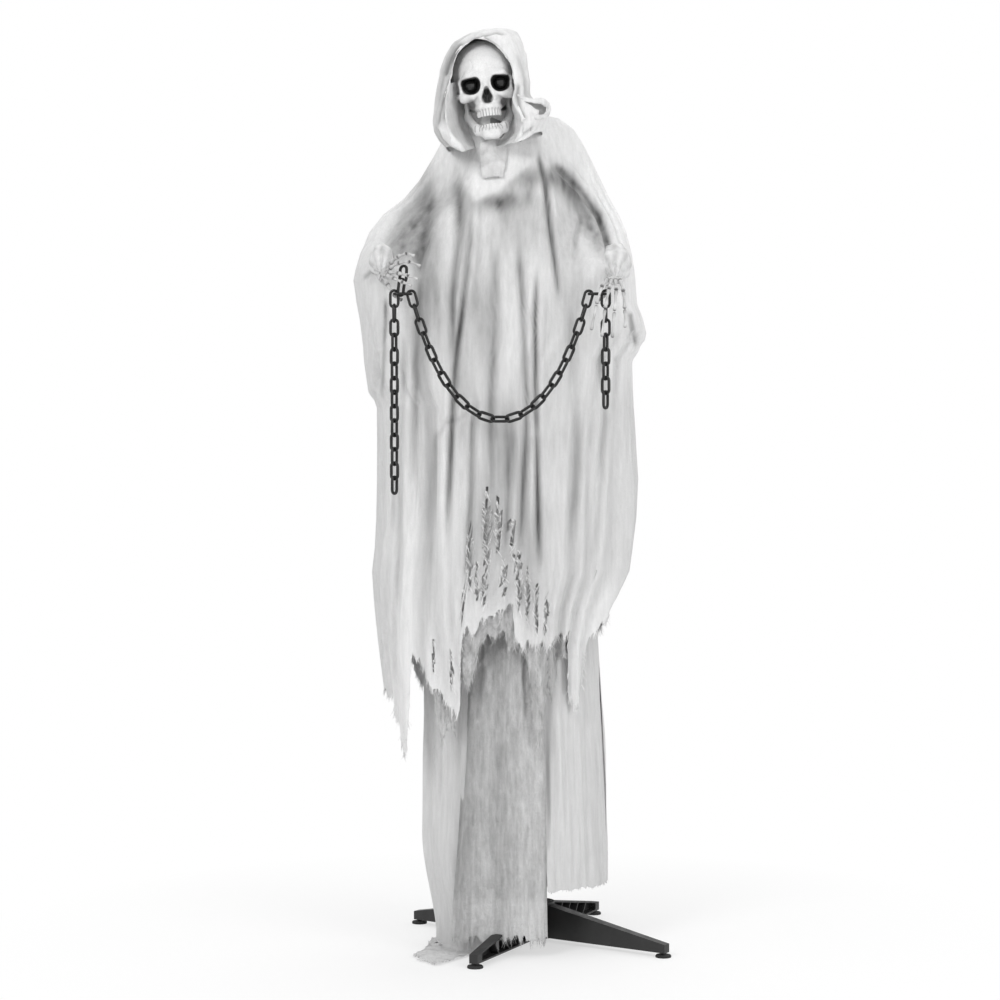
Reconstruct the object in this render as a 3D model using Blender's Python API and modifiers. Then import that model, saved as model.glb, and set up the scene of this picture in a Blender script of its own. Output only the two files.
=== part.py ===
"""Standing ghost figure: a hooded skeleton in a ragged gauze robe that holds a chain, on a folding cross base.

Metres, +Z up, the figure faces -Y. The origin is on the floor under the middle of the whole figure's box.
Left and right are the viewer's, as seen from the front.
"""

import math

import bmesh
import bpy
from mathutils import Matrix, Vector

# General clearances and small overruns
SEAT_GAP = 0.0004
RUN_GAP = 0.0006
FUSE = 0.0010
CUT_OVERRUN = 0.004
MERGE = 0.000001
FIGURE_X = -0.0256

# Cross base: two beams that turn about the pole, one lapped over the other
HUB_X = 0.0754
HUB_RADIUS = 0.034
HUB_TOP_Z = 0.079
LEG_UNDERSIDE_Z = 0.009
LEG_REACH = 0.304
LEG_END_TOP_Z = 0.026
LEG_ROOT_WIDTH = 0.026
LEG_END_WIDTH = 0.018
LEG_WEB = 0.003
LEG_FLANGE = 0.0035
LEG_END_WALL = 0.020
LEG_STEP = 0.0015
LEG_RIB = 0.0025
LEG_RIBS = 4
RIB_LEAN = math.radians(40.0)
FIXED_BEAM_ANGLE = math.radians(-35.0)
FOLDING_BEAM_ANGLE = math.radians(-114.5)
COLLAR_RADIUS = 0.0150
COLLAR_HEIGHT = 0.014
FOOT_INSET = 0.008
FOOT_AT = LEG_REACH - FOOT_INSET
FOOT_RADIUS = 0.0155
FOOT_THICKNESS = 0.005
FOOT_STEM_RADIUS = 0.0045
FOOT_STEM_DEPTH = 0.010

# Steel pole in three lengths, the top one cranked forward and to the side
POLE_RADIUS = 0.0085
POLE_BORE = 0.0070
POLE_FOOT_Z = 0.014
LOWER_POLE_TOP_Z = 0.600
MIDDLE_POLE_TOP_Z = 1.150
COUPLER_RADIUS = 0.0120
COUPLER_LENGTH = 0.060
SPINE_TOP_Z = 1.575
SPINE_CRANK_START = 0.170
SPINE_CRANK_END = 0.270
SPINE_BEND = 0.040
TORSO_X = 0.020
TORSO_Y = -0.020

# Shoulder bar and the arms, which turn together about the bar's line
SHOULDER_Z = 1.598
SHOULDER_HALF = 0.070
BAR_RADIUS = 0.0100
SHOULDER_HUB_RADIUS = 0.0180
SHOULDER_HUB_LENGTH = 0.014
ARM_DISC_LENGTH = 0.012
TEE_LENGTH = 0.034
TEE_RADIUS = 0.0125
TEE_WIDTH = 0.050
TEE_WALL = 0.0030
NECK_LUG_WIDTH = 0.016
NECK_LUG_HEIGHT = 0.030
NECK_LUG_SIDE = 0.024
ARM_TUBE_RADIUS = 0.0085
ELBOW_RADIUS = 0.0150
LEFT_ELBOW = (-0.228, 0.000, 1.412)
RIGHT_ELBOW = (0.228, 0.000, 1.412)
LEFT_WRIST = (-0.228, -0.190, 1.332)
RIGHT_WRIST = (0.222, -0.185, 1.325)
WRIST_SOCKET = 0.012

# Skeleton hands
HAND_SIZE = 0.100
DIGIT_RADIUS = 0.0033
KNUCKLE_RADIUS = 0.0042
PALM_RADII = (0.0150, 0.0240, 0.0100)

# Chain of oval plastic links
LINK_LENGTH = 0.0375
LINK_WIDTH = 0.0205
LINK_WIRE = 0.0056
GRIP_X = 0.1845
GRIP_Y = -0.262
GRIP_Z = 1.284
SWAG_LINKS = 23
LEFT_DROP_UPPER_LINKS = 7
LEFT_DROP_LOWER_LINKS = 7
RIGHT_DROP_LINKS = 8
LINK_ARC_POINTS = 3
LINK_WIRE_STEPS = 0

# Head: the skull's own origin lies between the eye sockets
HEAD_X = -0.0279
HEAD_Y = -0.120
HEAD_Z = 1.6946
HEAD_ROLL = math.radians(-7.0)
CRANIUM_HALF_WIDTH = 0.0650
CRANIUM_HALF_LENGTH = 0.0820
CRANIUM_HALF_HEIGHT = 0.0700
CRANIUM_BACK = 0.034
CRANIUM_RISE = 0.0215
SKULL_WALL = 0.0040
SKULL_SPLIT_Y = 0.030
EYE_SPREAD = 0.0285
SOCKET_HALF_WIDTH = 0.0180
SOCKET_HALF_HEIGHT = 0.0160
SOCKET_DEPTH = 0.030
FACE_DEPTH = 0.044
MUZZLE_HALF_WIDTH = 0.0300
MUZZLE_HALF_HEIGHT = 0.0400
UPPER_TEETH_Z = -0.066
CHEEK_SPREAD = 0.0440
CHEEK_DROP = 0.020
NOSE_HALF_WIDTH = 0.0115
NOSE_DROP = 0.025
NOSE_HALF_HEIGHT = 0.0140
JAW_PIVOT_Y = 0.020
JAW_PIVOT_Z = -0.016
JAW_HALF_WIDTH = 0.0420
JAW_BONE_RADIUS = 0.0065
CHIN_Y = -0.038
CHIN_Z = -0.104
JAW_PIN_RADIUS = 0.0016
EYE_RADIUS = 0.0125
NECK_X = -0.018
NECK_Y = -0.066
NECK_SHAFT_RADIUS = 0.0060
GEARBOX_WIDTH = 0.046
GEARBOX_DEPTH = 0.040
GEARBOX_TOP_Z = 1.606
GEARBOX_HEIGHT = 0.046

CHEEK_Y = -0.022
CHEEK_RADII = (0.0120, 0.0160, 0.0090)
BROW_Y = -0.034
BROW_RISE = 0.018
BROW_RADII = (0.0220, 0.0130, 0.0070)
MUZZLE_Y = -0.022
MUZZLE_Z = -0.040
MUZZLE_DEPTH = 0.034
PALATE_RADII = (0.0180, 0.0220, 0.0200)
NOSE_DEPTH = 0.016
FOSSA_LENGTH = 0.056
FOSSA_SHIFT = 0.006
FOSSA_RISE = 0.012
ARCH_SPREAD = 0.0555
ARCH_END_SPREAD = 0.0600
ARCH_RADIUS = 0.0042
JAW_ANGLE_Z = -0.060
JAW_WIDTH_SHARES = (0.93, 0.62, 0.36)
JAW_GUM_Z = -0.094
GUM_RADIUS = 0.0065
JAW_TEETH_Z = -0.084
TOOTH_RADIUS = 0.0050
TEETH_HALF_WIDTH = 0.019
TEETH_DEPTH = 0.020
TEETH_BACK_Y = -0.016
TEETH_ARCH_STEPS = 5
EYE_Y = -0.022
EYE_PLATE = 0.003
EYE_PLATE_HALF_HEIGHT = 0.010
NECK_BOSS_LOW_Z = 1.646
NECK_BOSS_TOP_Z = 1.672
NECK_BOSS_RADIUS = 0.0120
NECK_SHAFT_TOP_Z = 1.668
NECK_SHAFT_SEAT = 0.020
JAW_MOTOR_LENGTH = 0.028

# Control box on the spine, under the robe's back
BOX_WIDTH = 0.110
BOX_DEPTH = 0.036
BOX_HEIGHT = 0.150
BOX_WALL = 0.0025
BOX_CHEEK = 0.005
BOX_CENTRE_Z = 1.262
COVER_THICKNESS = 0.003
CLIP_HEIGHT = 0.022
RAIL = 0.0030
DOOR_Z = -0.034
DOOR_TRAVEL = 0.012
BATTERIES = 3
BATTERY_RADIUS = 0.00725
BATTERY_LENGTH = 0.050
BOARD_SIZE = (0.070, 0.0016, 0.040)
BOARD_Z = 0.040
SPEAKER_Z = 0.042
SPEAKER_HOLES = 5
BUTTON_X = 0.040
BUTTON_FLANGE = 0.002
SWITCH_TRAVEL = 0.003
DOOR_WIDTH = 0.070
DOOR_HEIGHT = 0.062
DOOR_THICKNESS = 0.0022
SPEAKER_RADIUS = 0.022
SPEAKER_HEIGHT = 0.008
BUTTON_RADIUS = 0.005
BUTTON_LENGTH = 0.007
SWITCH_WIDTH = 0.006

# Cloth
CLOTH = 0.0022
ROBE_TOP_Z = 1.640
ROBE_DROP = 1.160
ROBE_HALF_WIDTH = 0.270
ROBE_HALF_DEPTH = 0.190
ROBE_FOLD = 0.016
ROBE_FOLDS = 7
ROBE_ROWS = 10
ROBE_ROW_POWER = 1.65
TORSO_ROWS = 3
ARMHOLE_RADIUS = 0.066
ARMHOLE_DROP = 0.058
ARMHOLE_SOLVER = "MANIFOLD"
FLAP_PLACE_SHARE = 0.27
FLAP_COLUMNS = 4
FLAP_TOP_ROW = 2
FLAP_ROWS = 1
COLLAR_FULLNESS = 2.0
COLLAR_EASE = 0.009
COLLAR_HALF_DEPTH = COLLAR_FULLNESS * (GEARBOX_DEPTH / 2 - NECK_Y + COLLAR_EASE)
COLLAR_END_SHARE = 0.04
CHEST_START_SHARE = 0.17
LEFT_SLEEVE_SHARE = 0.556
RIGHT_SLEEVE_SHARE = 0.637
FORM_DROP = 0.105
FORM_GAP = 0.0015
HOOD_DROP = 0.2115
HOOD_COLUMNS = 20
HOOD_ROWS = 7
HOOD_OPENING_SHIFT = 0.004
HOOD_OPENING_RISE = -0.006
HOOD_OPENING_RADII = (0.0620, 0.0640, 0.1120)
HOOD_HALF = 0.110
SLEEVE_HANG = 0.250
SLEEVE_COLUMNS = 12
SLEEVE_ROWS = 8
SLEEVE_TURN_SHARE = 0.50
SKIRT_TOP_Z = 0.960
SKIRT_FOLD = 0.012
SKIRT_FOLDS = 18
SKIRT_ROWS = 5
SKIRT_RAGS = 6
SKIRT_RAG = 0.030
SKIRT_FLARE = 0.030
SKIRT_FLOOR_Z = 0.0035
LEFT_SKIRT_DROP = 1.060
LEFT_SKIRT_TRAIL = (-0.10, -0.95)
CENTRE_SKIRT_DROP = 0.900
RIGHT_SKIRT_DROP = 0.855
BACK_SKIRT_DROP = 0.870
HOOP_X = 0.025
HOOP_Y = -0.010
HOOP_COLLAR = 0.020
HOOP_STEPS = 15
HOOP_SPOKES = 3
HOOP_RADIUS = 0.0035
HOOP_HALF_WIDTH = 0.140
HOOP_HALF_DEPTH = 0.110
SEAM_GAP = 0.0012

# Robe sections from the neck down: drop, middle x, middle y, left, right, front and back reach, fold depth.
# The drop is a share of ROBE_DROP, reaches are shares of ROBE_HALF_WIDTH or ROBE_HALF_DEPTH.
ROBE_SECTION_SHARES = (
    (0.000, -0.067, -0.347, 0.062, 0.062, 0.115, 0.115, 0.00),
    (0.016, 0.06, -0.15, 0.365, 0.430, 0.370, 0.320, 0.00),
    (0.040, 0.07, -0.13, 0.410, 0.480, 0.410, 0.390, 0.00),
    (0.090, 0.07, -0.11, 0.460, 0.510, 0.470, 0.470, 0.15),
    (0.170, 0.07, -0.11, 0.530, 0.550, 0.620, 0.530, 0.40),
    (0.260, 0.07, -0.11, 0.620, 0.600, 0.720, 0.570, 0.60),
    (0.370, 0.06, -0.11, 0.730, 0.700, 0.780, 0.620, 0.75),
    (0.480, 0.05, -0.11, 0.890, 0.850, 0.840, 0.680, 0.90),
    (0.600, 0.05, -0.11, 0.950, 0.915, 0.880, 0.715, 1.00),
    (0.710, 0.05, -0.11, 0.965, 0.850, 0.900, 0.700, 1.00),
    (0.800, 0.05, -0.11, 0.950, 0.750, 0.910, 0.720, 1.00),
    (0.880, 0.05, -0.11, 0.920, 0.700, 0.910, 0.720, 1.00),
    (1.000, 0.05, -0.11, 0.880, 0.680, 0.910, 0.720, 1.00),
)
# Ragged hem all round, from the right side by the front to the left side and by the back again.
FRONT_HEM_SHARES = (0.83, 0.90, 0.80, 0.92, 0.86, 0.96, 0.84, 0.90, 0.80, 0.88, 0.93, 0.84, 1.00)
BACK_HEM_SHARES = (1.00, 0.88, 0.94, 0.85, 0.95, 0.86, 0.93, 0.85, 0.83)
# Hood sections from the crown down: drop, middle x, middle y, left, right, front and back reach.
HOOD_SECTION_SHARES = (
    (0.000, -0.27, -0.78, 0.000, 0.000, 0.000, 0.000),
    (0.020, -0.27, -0.78, 0.362, 0.362, 0.425, 0.430),
    (0.100, -0.27, -0.78, 0.550, 0.540, 0.660, 0.685),
    (0.240, -0.27, -0.76, 0.700, 0.660, 0.780, 0.820),
    (0.420, -0.27, -0.74, 0.790, 0.770, 0.840, 0.870),
    (0.580, -0.27, -0.72, 0.820, 0.810, 0.840, 0.880),
    (0.740, -0.27, -0.72, 0.920, 0.900, 0.860, 0.880),
    (0.860, -0.27, -0.72, 0.960, 1.040, 0.860, 0.860),
    (1.000, -0.27, -0.72, 0.800, 0.960, 0.760, 0.800),
)
HOOD_BACK_HEM_SHARE = 0.71
# Sleeve sections from the shoulder to the wrist: place along the arm, then the top, hang, half width and
# outward throw of the lower part as shares of SLEEVE_HANG.
SLEEVE_SECTION_SHARES = (
    (0.00, 0.170, 0.100, 0.170, 0.00),
    (0.25, 0.140, 0.220, 0.170, 0.00),
    (0.50, 0.100, 0.640, 0.190, 0.05),
    (0.75, 0.040, 0.780, 0.125, 0.06),
    (1.00, 0.040, 0.840, 0.115, 0.05),
)
# Digits from the palm to the tip, as shares of HAND_SIZE from the wrist. A thumb under the chain's
# grip link comes after them, and only its first point is a share.
LEFT_DIGIT_SHARES = (
    ((0.21, -0.50, 0.12), (0.36, -0.86, 0.22), (0.52, -1.00, 0.27), (0.68, -0.98, 0.22)),
    ((0.20, -0.52, 0.03), (0.38, -0.92, 0.10), (0.58, -1.06, 0.11), (0.79, -1.00, 0.03)),
    ((0.18, -0.52, -0.06), (0.36, -0.92, -0.10), (0.55, -1.05, -0.15), (0.74, -1.00, -0.22)),
    ((0.14, -0.50, -0.12), (0.28, -0.90, -0.20), (0.44, -1.02, -0.27), (0.62, -0.98, -0.34)),
)
RIGHT_DIGIT_SHARES = (
    ((-0.18, -0.50, -0.12), (-0.30, -0.95, -0.28), (-0.40, -1.04, -0.62), (-0.50, -1.03, -1.12)),
    ((-0.10, -0.48, -0.14), (-0.16, -0.93, -0.32), (-0.24, -1.02, -0.70), (-0.30, -1.00, -1.24)),
    ((-0.02, -0.46, -0.14), (-0.02, -0.88, -0.34), (-0.06, -0.97, -0.75), (-0.10, -0.96, -1.26)),
    ((0.07, -0.42, -0.14), (0.12, -0.78, -0.36), (0.14, -0.86, -0.70), (0.15, -0.85, -1.06)),
)
LEFT_THUMB_SHARE = (0.14, -0.34, -0.30)
RIGHT_THUMB_SHARE = (-0.16, -0.32, -0.26)
PALM_SHARE = (0.09, -0.24, -0.02)
THUMB_REACH = 0.014


def start_scene():
    """Empties the scene and makes the collections of parts and of cutters."""
    for thing in list(bpy.data.objects):
        bpy.data.objects.remove(thing)
    made = []
    for name in ("ghost_figure", "cutters"):
        collection = bpy.data.collections.new(name)
        bpy.context.scene.collection.children.link(collection)
        made.append(collection)
    made[1].hide_render = True
    return made


PARTS, CUTTERS = start_scene()


def material(name, colour, roughness, metallic=0.0):
    made = bpy.data.materials.new(name)
    made.use_nodes = True
    shader = made.node_tree.nodes["Principled BSDF"]
    shader.inputs["Base Color"].default_value = (*colour, 1.0)
    shader.inputs["Roughness"].default_value = roughness
    shader.inputs["Metallic"].default_value = metallic
    made.diffuse_color = (*colour, 1.0)
    return made


BLACK_PLASTIC = material("black_plastic", (0.012, 0.012, 0.013), 0.55)
BLACK_STEEL = material("black_steel", (0.020, 0.020, 0.021), 0.35, 0.6)
GREY_PLASTIC = material("grey_plastic", (0.16, 0.16, 0.17), 0.5)
RUBBER = material("rubber", (0.015, 0.015, 0.015), 0.8)
BONE = material("bone_plastic", (0.70, 0.69, 0.67), 0.6)
EYE_LENS = material("eye_lens", (0.015, 0.015, 0.017), 0.08)
GAUZE = material("gauze", (0.74, 0.74, 0.74), 0.95)
GREY_GAUZE = material("grey_gauze", (0.52, 0.52, 0.52), 0.95)
FOAM = material("foam", (0.30, 0.30, 0.31), 0.95)
CHAIN_PLASTIC = material("chain_plastic", (0.012, 0.012, 0.012), 0.4)


def keep(thing, finish=None, smooth=True):
    """Files the object as a part with its finish, or as a cutter when it has none."""
    (PARTS if finish else CUTTERS).objects.link(thing)
    if finish:
        thing.data.materials.clear()
        thing.data.materials.append(finish)
        if smooth and thing.type == "MESH":
            thing.data.shade_smooth()
            thing.data.set_sharp_from_angle(angle=math.radians(40.0))
    else:
        thing.hide_render = True
        thing.display_type = "WIRE"
    return thing


def from_bmesh(name, work, finish=None, smooth=True):
    bmesh.ops.recalc_face_normals(work, faces=work.faces)
    mesh = bpy.data.meshes.new(name)
    work.to_mesh(mesh)
    work.free()
    return keep(bpy.data.objects.new(name, mesh), finish, smooth)


def turn_to(direction):
    """The rotation that takes +Z to the direction."""
    return Vector(direction).to_track_quat("Z", "Y").to_matrix().to_4x4()


def rod(name, start, end, radius, finish=None, segments=16, end_radius=None):
    """A round bar from start to end."""
    start, end = Vector(start), Vector(end)
    work = bmesh.new()
    bmesh.ops.create_cone(
        work, cap_ends=True, segments=segments, radius1=radius,
        radius2=radius if end_radius is None else end_radius, depth=(end - start).length,
    )
    made = from_bmesh(name, work, finish)
    made.matrix_world = Matrix.Translation((start + end) / 2) @ turn_to(end - start)
    return made


def block(name, size, centre, finish=None):
    work = bmesh.new()
    bmesh.ops.create_cube(work, size=1.0, matrix=Matrix.Diagonal((*size, 1.0)))
    made = from_bmesh(name, work, finish, smooth=False)
    made.location = centre
    return made


def egg(name, centre, radii, finish=None, segments=16, rings=10):
    """An ellipsoid."""
    work = bmesh.new()
    bmesh.ops.create_uvsphere(
        work, u_segments=segments, v_segments=rings, radius=1.0, matrix=Matrix.Diagonal((*radii, 1.0)),
    )
    made = from_bmesh(name, work, finish)
    made.location = centre
    return made


def boolean(thing, other, operation="DIFFERENCE"):
    made = thing.modifiers.new(other.name, "BOOLEAN")
    made.operation = operation
    made.object = other
    made.solver = "EXACT"
    return thing


def bevel(thing, width, segments=1):
    made = thing.modifiers.new("edges", "BEVEL")
    made.width = width
    made.segments = segments
    made.limit_method = "ANGLE"
    made.angle_limit = math.radians(50.0)
    return thing


def bake(thing, finish=None):
    """Replaces an object by its evaluated mesh, with a curve's caps welded."""
    bpy.context.view_layer.update()
    graph = bpy.context.evaluated_depsgraph_get()
    mesh = bpy.data.meshes.new_from_object(thing.evaluated_get(graph))
    work = bmesh.new()
    work.from_mesh(mesh)
    bmesh.ops.remove_doubles(work, verts=work.verts, dist=MERGE)
    work.to_mesh(mesh)
    work.free()
    name, matrix = thing.name, thing.matrix_world.copy()
    bpy.data.objects.remove(thing)
    made = bpy.data.objects.new(name, mesh)
    made.matrix_world = matrix
    return keep(made, finish)


def line(name, points, radius, finish=None, radii=None, cyclic=False, resolution=1):
    """A tube along points, each with its own share of the radius if radii are given."""
    curve = bpy.data.curves.new(name, "CURVE")
    curve.dimensions = "3D"
    curve.bevel_depth = radius
    curve.bevel_resolution = resolution
    curve.use_fill_caps = not cyclic
    spline = curve.splines.new("POLY")
    spline.points.add(len(points) - 1)
    for i, point in enumerate(points):
        spline.points[i].co = (*point, 1.0)
        spline.points[i].radius = radii[i] if radii else 1.0
    spline.use_cyclic_u = cyclic
    return bake(keep(bpy.data.objects.new(name, curve)), finish)


def tube(name, start, end, radius, bore, finish, segments=14):
    """A straight pipe."""
    start, end = Vector(start), Vector(end)
    along = (end - start).normalized() * CUT_OVERRUN
    made = rod(name, start, end, radius, finish, segments)
    return boolean(made, rod(name + "_bore", start - along, end + along, bore, None, segments))


def through_table(rows, share):
    """The row of a table at a share of its first column, by straight interpolation."""
    for low, high in zip(rows, rows[1:]):
        if share <= high[0]:
            part = (share - low[0]) / (high[0] - low[0])
            return [a + (b - a) * part for a, b in zip(low, high)]
    return list(rows[-1])


def sheet(name, columns, rows, place, finish, thickness=CLOTH, wrap=False, outward=False):
    """A thin solid of cloth from a grid whose point (u, v) lies at place(u, v)."""
    work = bmesh.new()
    bmesh.ops.create_grid(work, x_segments=columns, y_segments=rows, size=0.5)
    for point in work.verts:
        point.co = place(point.co.x + 0.5, 0.5 - point.co.y)
    if wrap:
        bmesh.ops.remove_doubles(work, verts=work.verts, dist=MERGE)
    bmesh.ops.recalc_face_normals(work, faces=work.faces)
    middle = sum((point.co for point in work.verts), Vector()) / len(work.verts)
    outs = [(face.calc_center_median() - middle).dot(face.normal) * face.calc_area() for face in work.faces]
    if sum(outs) < 0:
        bmesh.ops.reverse_faces(work, faces=work.faces)
    mesh = bpy.data.meshes.new(name)
    work.to_mesh(mesh)
    work.free()
    made = keep(bpy.data.objects.new(name, mesh), finish)
    solid = made.modifiers.new("cloth", "SOLIDIFY")
    solid.thickness = thickness
    solid.offset = 1.0 if outward else 0.0
    return made


def rounded(points, bend, steps=3):
    """A route with each inner corner drawn as a curve that starts and ends a bend's length away from it."""
    points = [Vector(point) for point in points]
    route = [points[0]]
    for before, corner, after in zip(points, points[1:], points[2:]):
        start = corner + (before - corner).normalized() * bend
        end = corner + (after - corner).normalized() * bend
        for i in range(steps + 1):
            t = i / steps
            route.append(start * (1 - t) ** 2 + corner * (2 * t * (1 - t)) + end * t ** 2)
    return route + [points[-1]]


def turned(name, outline, centre, finish, steps=12):
    """A solid turned about a vertical axis, from (radius, height) points that run from top to bottom."""
    mesh = bpy.data.meshes.new(name)
    points = [(radius, 0.0, height) for radius, height in outline]
    mesh.from_pydata(points, [(i, i + 1) for i in range(len(points) - 1)], [])
    made = keep(bpy.data.objects.new(name, mesh), finish)
    made.location = centre
    screw = made.modifiers.new("turn", "SCREW")
    screw.steps = screw.render_steps = steps
    screw.use_merge_vertices = True
    screw.merge_threshold = 0.0001
    screw.use_smooth_shade = True
    return made


def wedge(name, along, sides, low, high, finish=None):
    """A tapered bar along +X. Each pair holds the value at the start and at the end of the bar."""
    work = bmesh.new()
    bmesh.ops.create_cube(work, size=2.0)
    for point in work.verts:
        end = point.co.x > 0
        side = sides[0] if point.co.y < 0 else sides[1]
        point.co = (along[end], side[end], (high if point.co.z > 0 else low)[end])
    return from_bmesh(name, work, finish, smooth=False)


# Cross base

HUB_MIDDLE_Z = (LEG_UNDERSIDE_Z + HUB_TOP_Z) / 2


def leg(name, pocket_side):
    """One leg along +X with a ribbed pocket on one side, all of it still to be turned to its angle."""
    root, reach = HUB_RADIUS / 2, LEG_REACH
    half_root, half_end = LEG_ROOT_WIDTH / 2, LEG_END_WIDTH / 2
    top = (HUB_TOP_Z - LEG_STEP, LEG_END_TOP_Z)
    made = wedge(
        name, (root, reach), ((-half_root, -half_end), (half_root, half_end)),
        (LEG_UNDERSIDE_Z, LEG_UNDERSIDE_Z), top,
    )
    start, end = HUB_RADIUS + 2 * LEG_FLANGE, reach - LEG_END_WALL
    fall = (top[1] - top[0]) / (reach - root)
    tops = [top[0] + fall * (place - root) - LEG_FLANGE for place in (start, end)]
    inner = [-pocket_side * (half - LEG_WEB) for half in (half_root, half_end)]
    outer = [pocket_side * (half_root + CUT_OVERRUN)] * 2
    floor = LEG_UNDERSIDE_Z + LEG_FLANGE
    sides = (inner, outer) if pocket_side > 0 else (outer, inner)
    pocket = wedge(name + "_pocket", (start, end), sides, (floor, floor), tops)
    boolean(pocket, leg_ribs(name + "_ribs", start, end))
    return boolean(made, pocket)


def leg_ribs(name, start, end):
    """Diagonal ribs across a leg's pocket, as one mesh of separate slabs."""
    work = bmesh.new()
    spacing = (end - start) / (LEG_RIBS + 1)
    for i in range(LEG_RIBS):
        place = Matrix.Translation((start + spacing * (i + 1), 0, HUB_MIDDLE_Z))
        size = Matrix.Diagonal((LEG_RIB, 2 * LEG_ROOT_WIDTH, 2 * HUB_TOP_Z, 1.0))
        bmesh.ops.create_cube(work, size=1.0, matrix=place @ Matrix.Rotation(RIB_LEAN, 4, "Y") @ size)
    return from_bmesh(name, work, None, smooth=False)


def base_beam(name, angle, upper, pocket_sides):
    """Both legs of one beam with its half of the lapped hub."""
    split = HUB_MIDDLE_Z + (RUN_GAP / 2 if upper else -RUN_GAP / 2)
    hub_span = (split, HUB_TOP_Z) if upper else (LEG_UNDERSIDE_Z - LEG_STEP, split)
    far_end = -CUT_OVERRUN if upper else HUB_TOP_Z + CUT_OVERRUN
    made = rod(name, (HUB_X, 0, hub_span[0]), (HUB_X, 0, hub_span[1]), HUB_RADIUS, BLACK_PLASTIC, 32)
    lap_ends = sorted((split, far_end))
    lap = rod(name + "_lap", (HUB_X, 0, lap_ends[0]), (HUB_X, 0, lap_ends[1]), HUB_RADIUS + RUN_GAP, None, 32)
    for i, side in enumerate(pocket_sides):
        turn = angle + i * math.pi
        arm = leg(f"{name}_leg_{i}", side)
        for cutter in [arm] + [other for other in CUTTERS.objects if other.name.startswith(arm.name + "_")]:
            cutter.location = (HUB_X, 0, 0)
            cutter.rotation_euler.z = turn
        boolean(boolean(arm, lap), foot_hole(f"{name}_foot_hole_{i}", turn))
        boolean(made, arm, "UNION")
    bore_radius = POLE_RADIUS + (SEAT_GAP if upper else RUN_GAP)
    bore = rod(
        name + "_bore", (HUB_X, 0, POLE_FOOT_Z), (HUB_X, 0, HUB_TOP_Z + CUT_OVERRUN), bore_radius, None, 16,
    )
    return boolean(made, bore)


def foot_place(turn):
    return HUB_X + FOOT_AT * math.cos(turn), FOOT_AT * math.sin(turn)


def foot_hole(name, turn):
    x, y = foot_place(turn)
    top = LEG_UNDERSIDE_Z + FOOT_STEM_DEPTH + SEAT_GAP
    return rod(name, (x, y, -CUT_OVERRUN), (x, y, top), FOOT_STEM_RADIUS + SEAT_GAP, None, 12)


def foot(name, turn):
    """A rubber pad whose stem goes up into the leg."""
    x, y = foot_place(turn)
    edge = FOOT_THICKNESS / 4
    outline = (
        (0, LEG_UNDERSIDE_Z + FOOT_STEM_DEPTH), (FOOT_STEM_RADIUS, LEG_UNDERSIDE_Z + FOOT_STEM_DEPTH),
        (FOOT_STEM_RADIUS, FOOT_THICKNESS), (FOOT_RADIUS - edge, FOOT_THICKNESS),
        (FOOT_RADIUS, FOOT_THICKNESS - edge), (FOOT_RADIUS, 0), (0, 0),
    )
    return turned(name, outline, (x, y, 0), RUBBER)


def build_base():
    base_beam("base_beam_fixed", FIXED_BEAM_ANGLE, True, (1, -1))
    base_beam("base_beam_folding", FOLDING_BEAM_ANGLE, False, (1, -1))
    feet = (
        ("foot_front_right", FIXED_BEAM_ANGLE), ("foot_back_left", FIXED_BEAM_ANGLE + math.pi),
        ("foot_front_left", FOLDING_BEAM_ANGLE), ("foot_back_right", FOLDING_BEAM_ANGLE + math.pi),
    )
    for name, turn in feet:
        foot(name, turn)
    start = HUB_TOP_Z + SEAT_GAP
    collar_bore = POLE_RADIUS + SEAT_GAP
    tube("hub_collar", (HUB_X, 0, start), (HUB_X, 0, start + COLLAR_HEIGHT), COLLAR_RADIUS, collar_bore, BLACK_PLASTIC)


# Pole and shoulders

SPINE_POINTS = (
    (HUB_X, 0, MIDDLE_POLE_TOP_Z + SEAT_GAP),
    (HUB_X, 0, MIDDLE_POLE_TOP_Z + SPINE_CRANK_START),
    (TORSO_X, TORSO_Y, MIDDLE_POLE_TOP_Z + SPINE_CRANK_END),
    (TORSO_X, TORSO_Y, SPINE_TOP_Z),
)


def build_pole():
    spans = (
        ("pole_lower", POLE_FOOT_Z + SEAT_GAP, LOWER_POLE_TOP_Z),
        ("pole_middle", LOWER_POLE_TOP_Z + SEAT_GAP, MIDDLE_POLE_TOP_Z),
    )
    for name, low, high in spans:
        tube(name, (HUB_X, 0, low), (HUB_X, 0, high), POLE_RADIUS, POLE_BORE, BLACK_STEEL)
    for name, middle in (("coupler_lower", LOWER_POLE_TOP_Z), ("coupler_upper", MIDDLE_POLE_TOP_Z)):
        low, high = middle - COUPLER_LENGTH / 2, middle + COUPLER_LENGTH / 2
        bore = POLE_RADIUS + SEAT_GAP
        tube(name, (HUB_X, 0, low), (HUB_X, 0, high), COUPLER_RADIUS, bore, BLACK_PLASTIC)
    route = rounded(SPINE_POINTS, SPINE_BEND)
    spine = line("spine_tube", route, POLE_RADIUS, BLACK_STEEL, resolution=2)
    reach = (route[0] - Vector((0, 0, CUT_OVERRUN)), route[-1] + Vector((0, 0, CUT_OVERRUN)))
    boolean(spine, line("spine_bore", [reach[0]] + route[1:-1] + [reach[1]], POLE_BORE, resolution=2))


def along_x(name, start, end, radius, finish=None, segments=16, y=TORSO_Y, z=SHOULDER_Z):
    return rod(name, (start, y, z), (end, y, z), radius, finish, segments)


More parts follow.
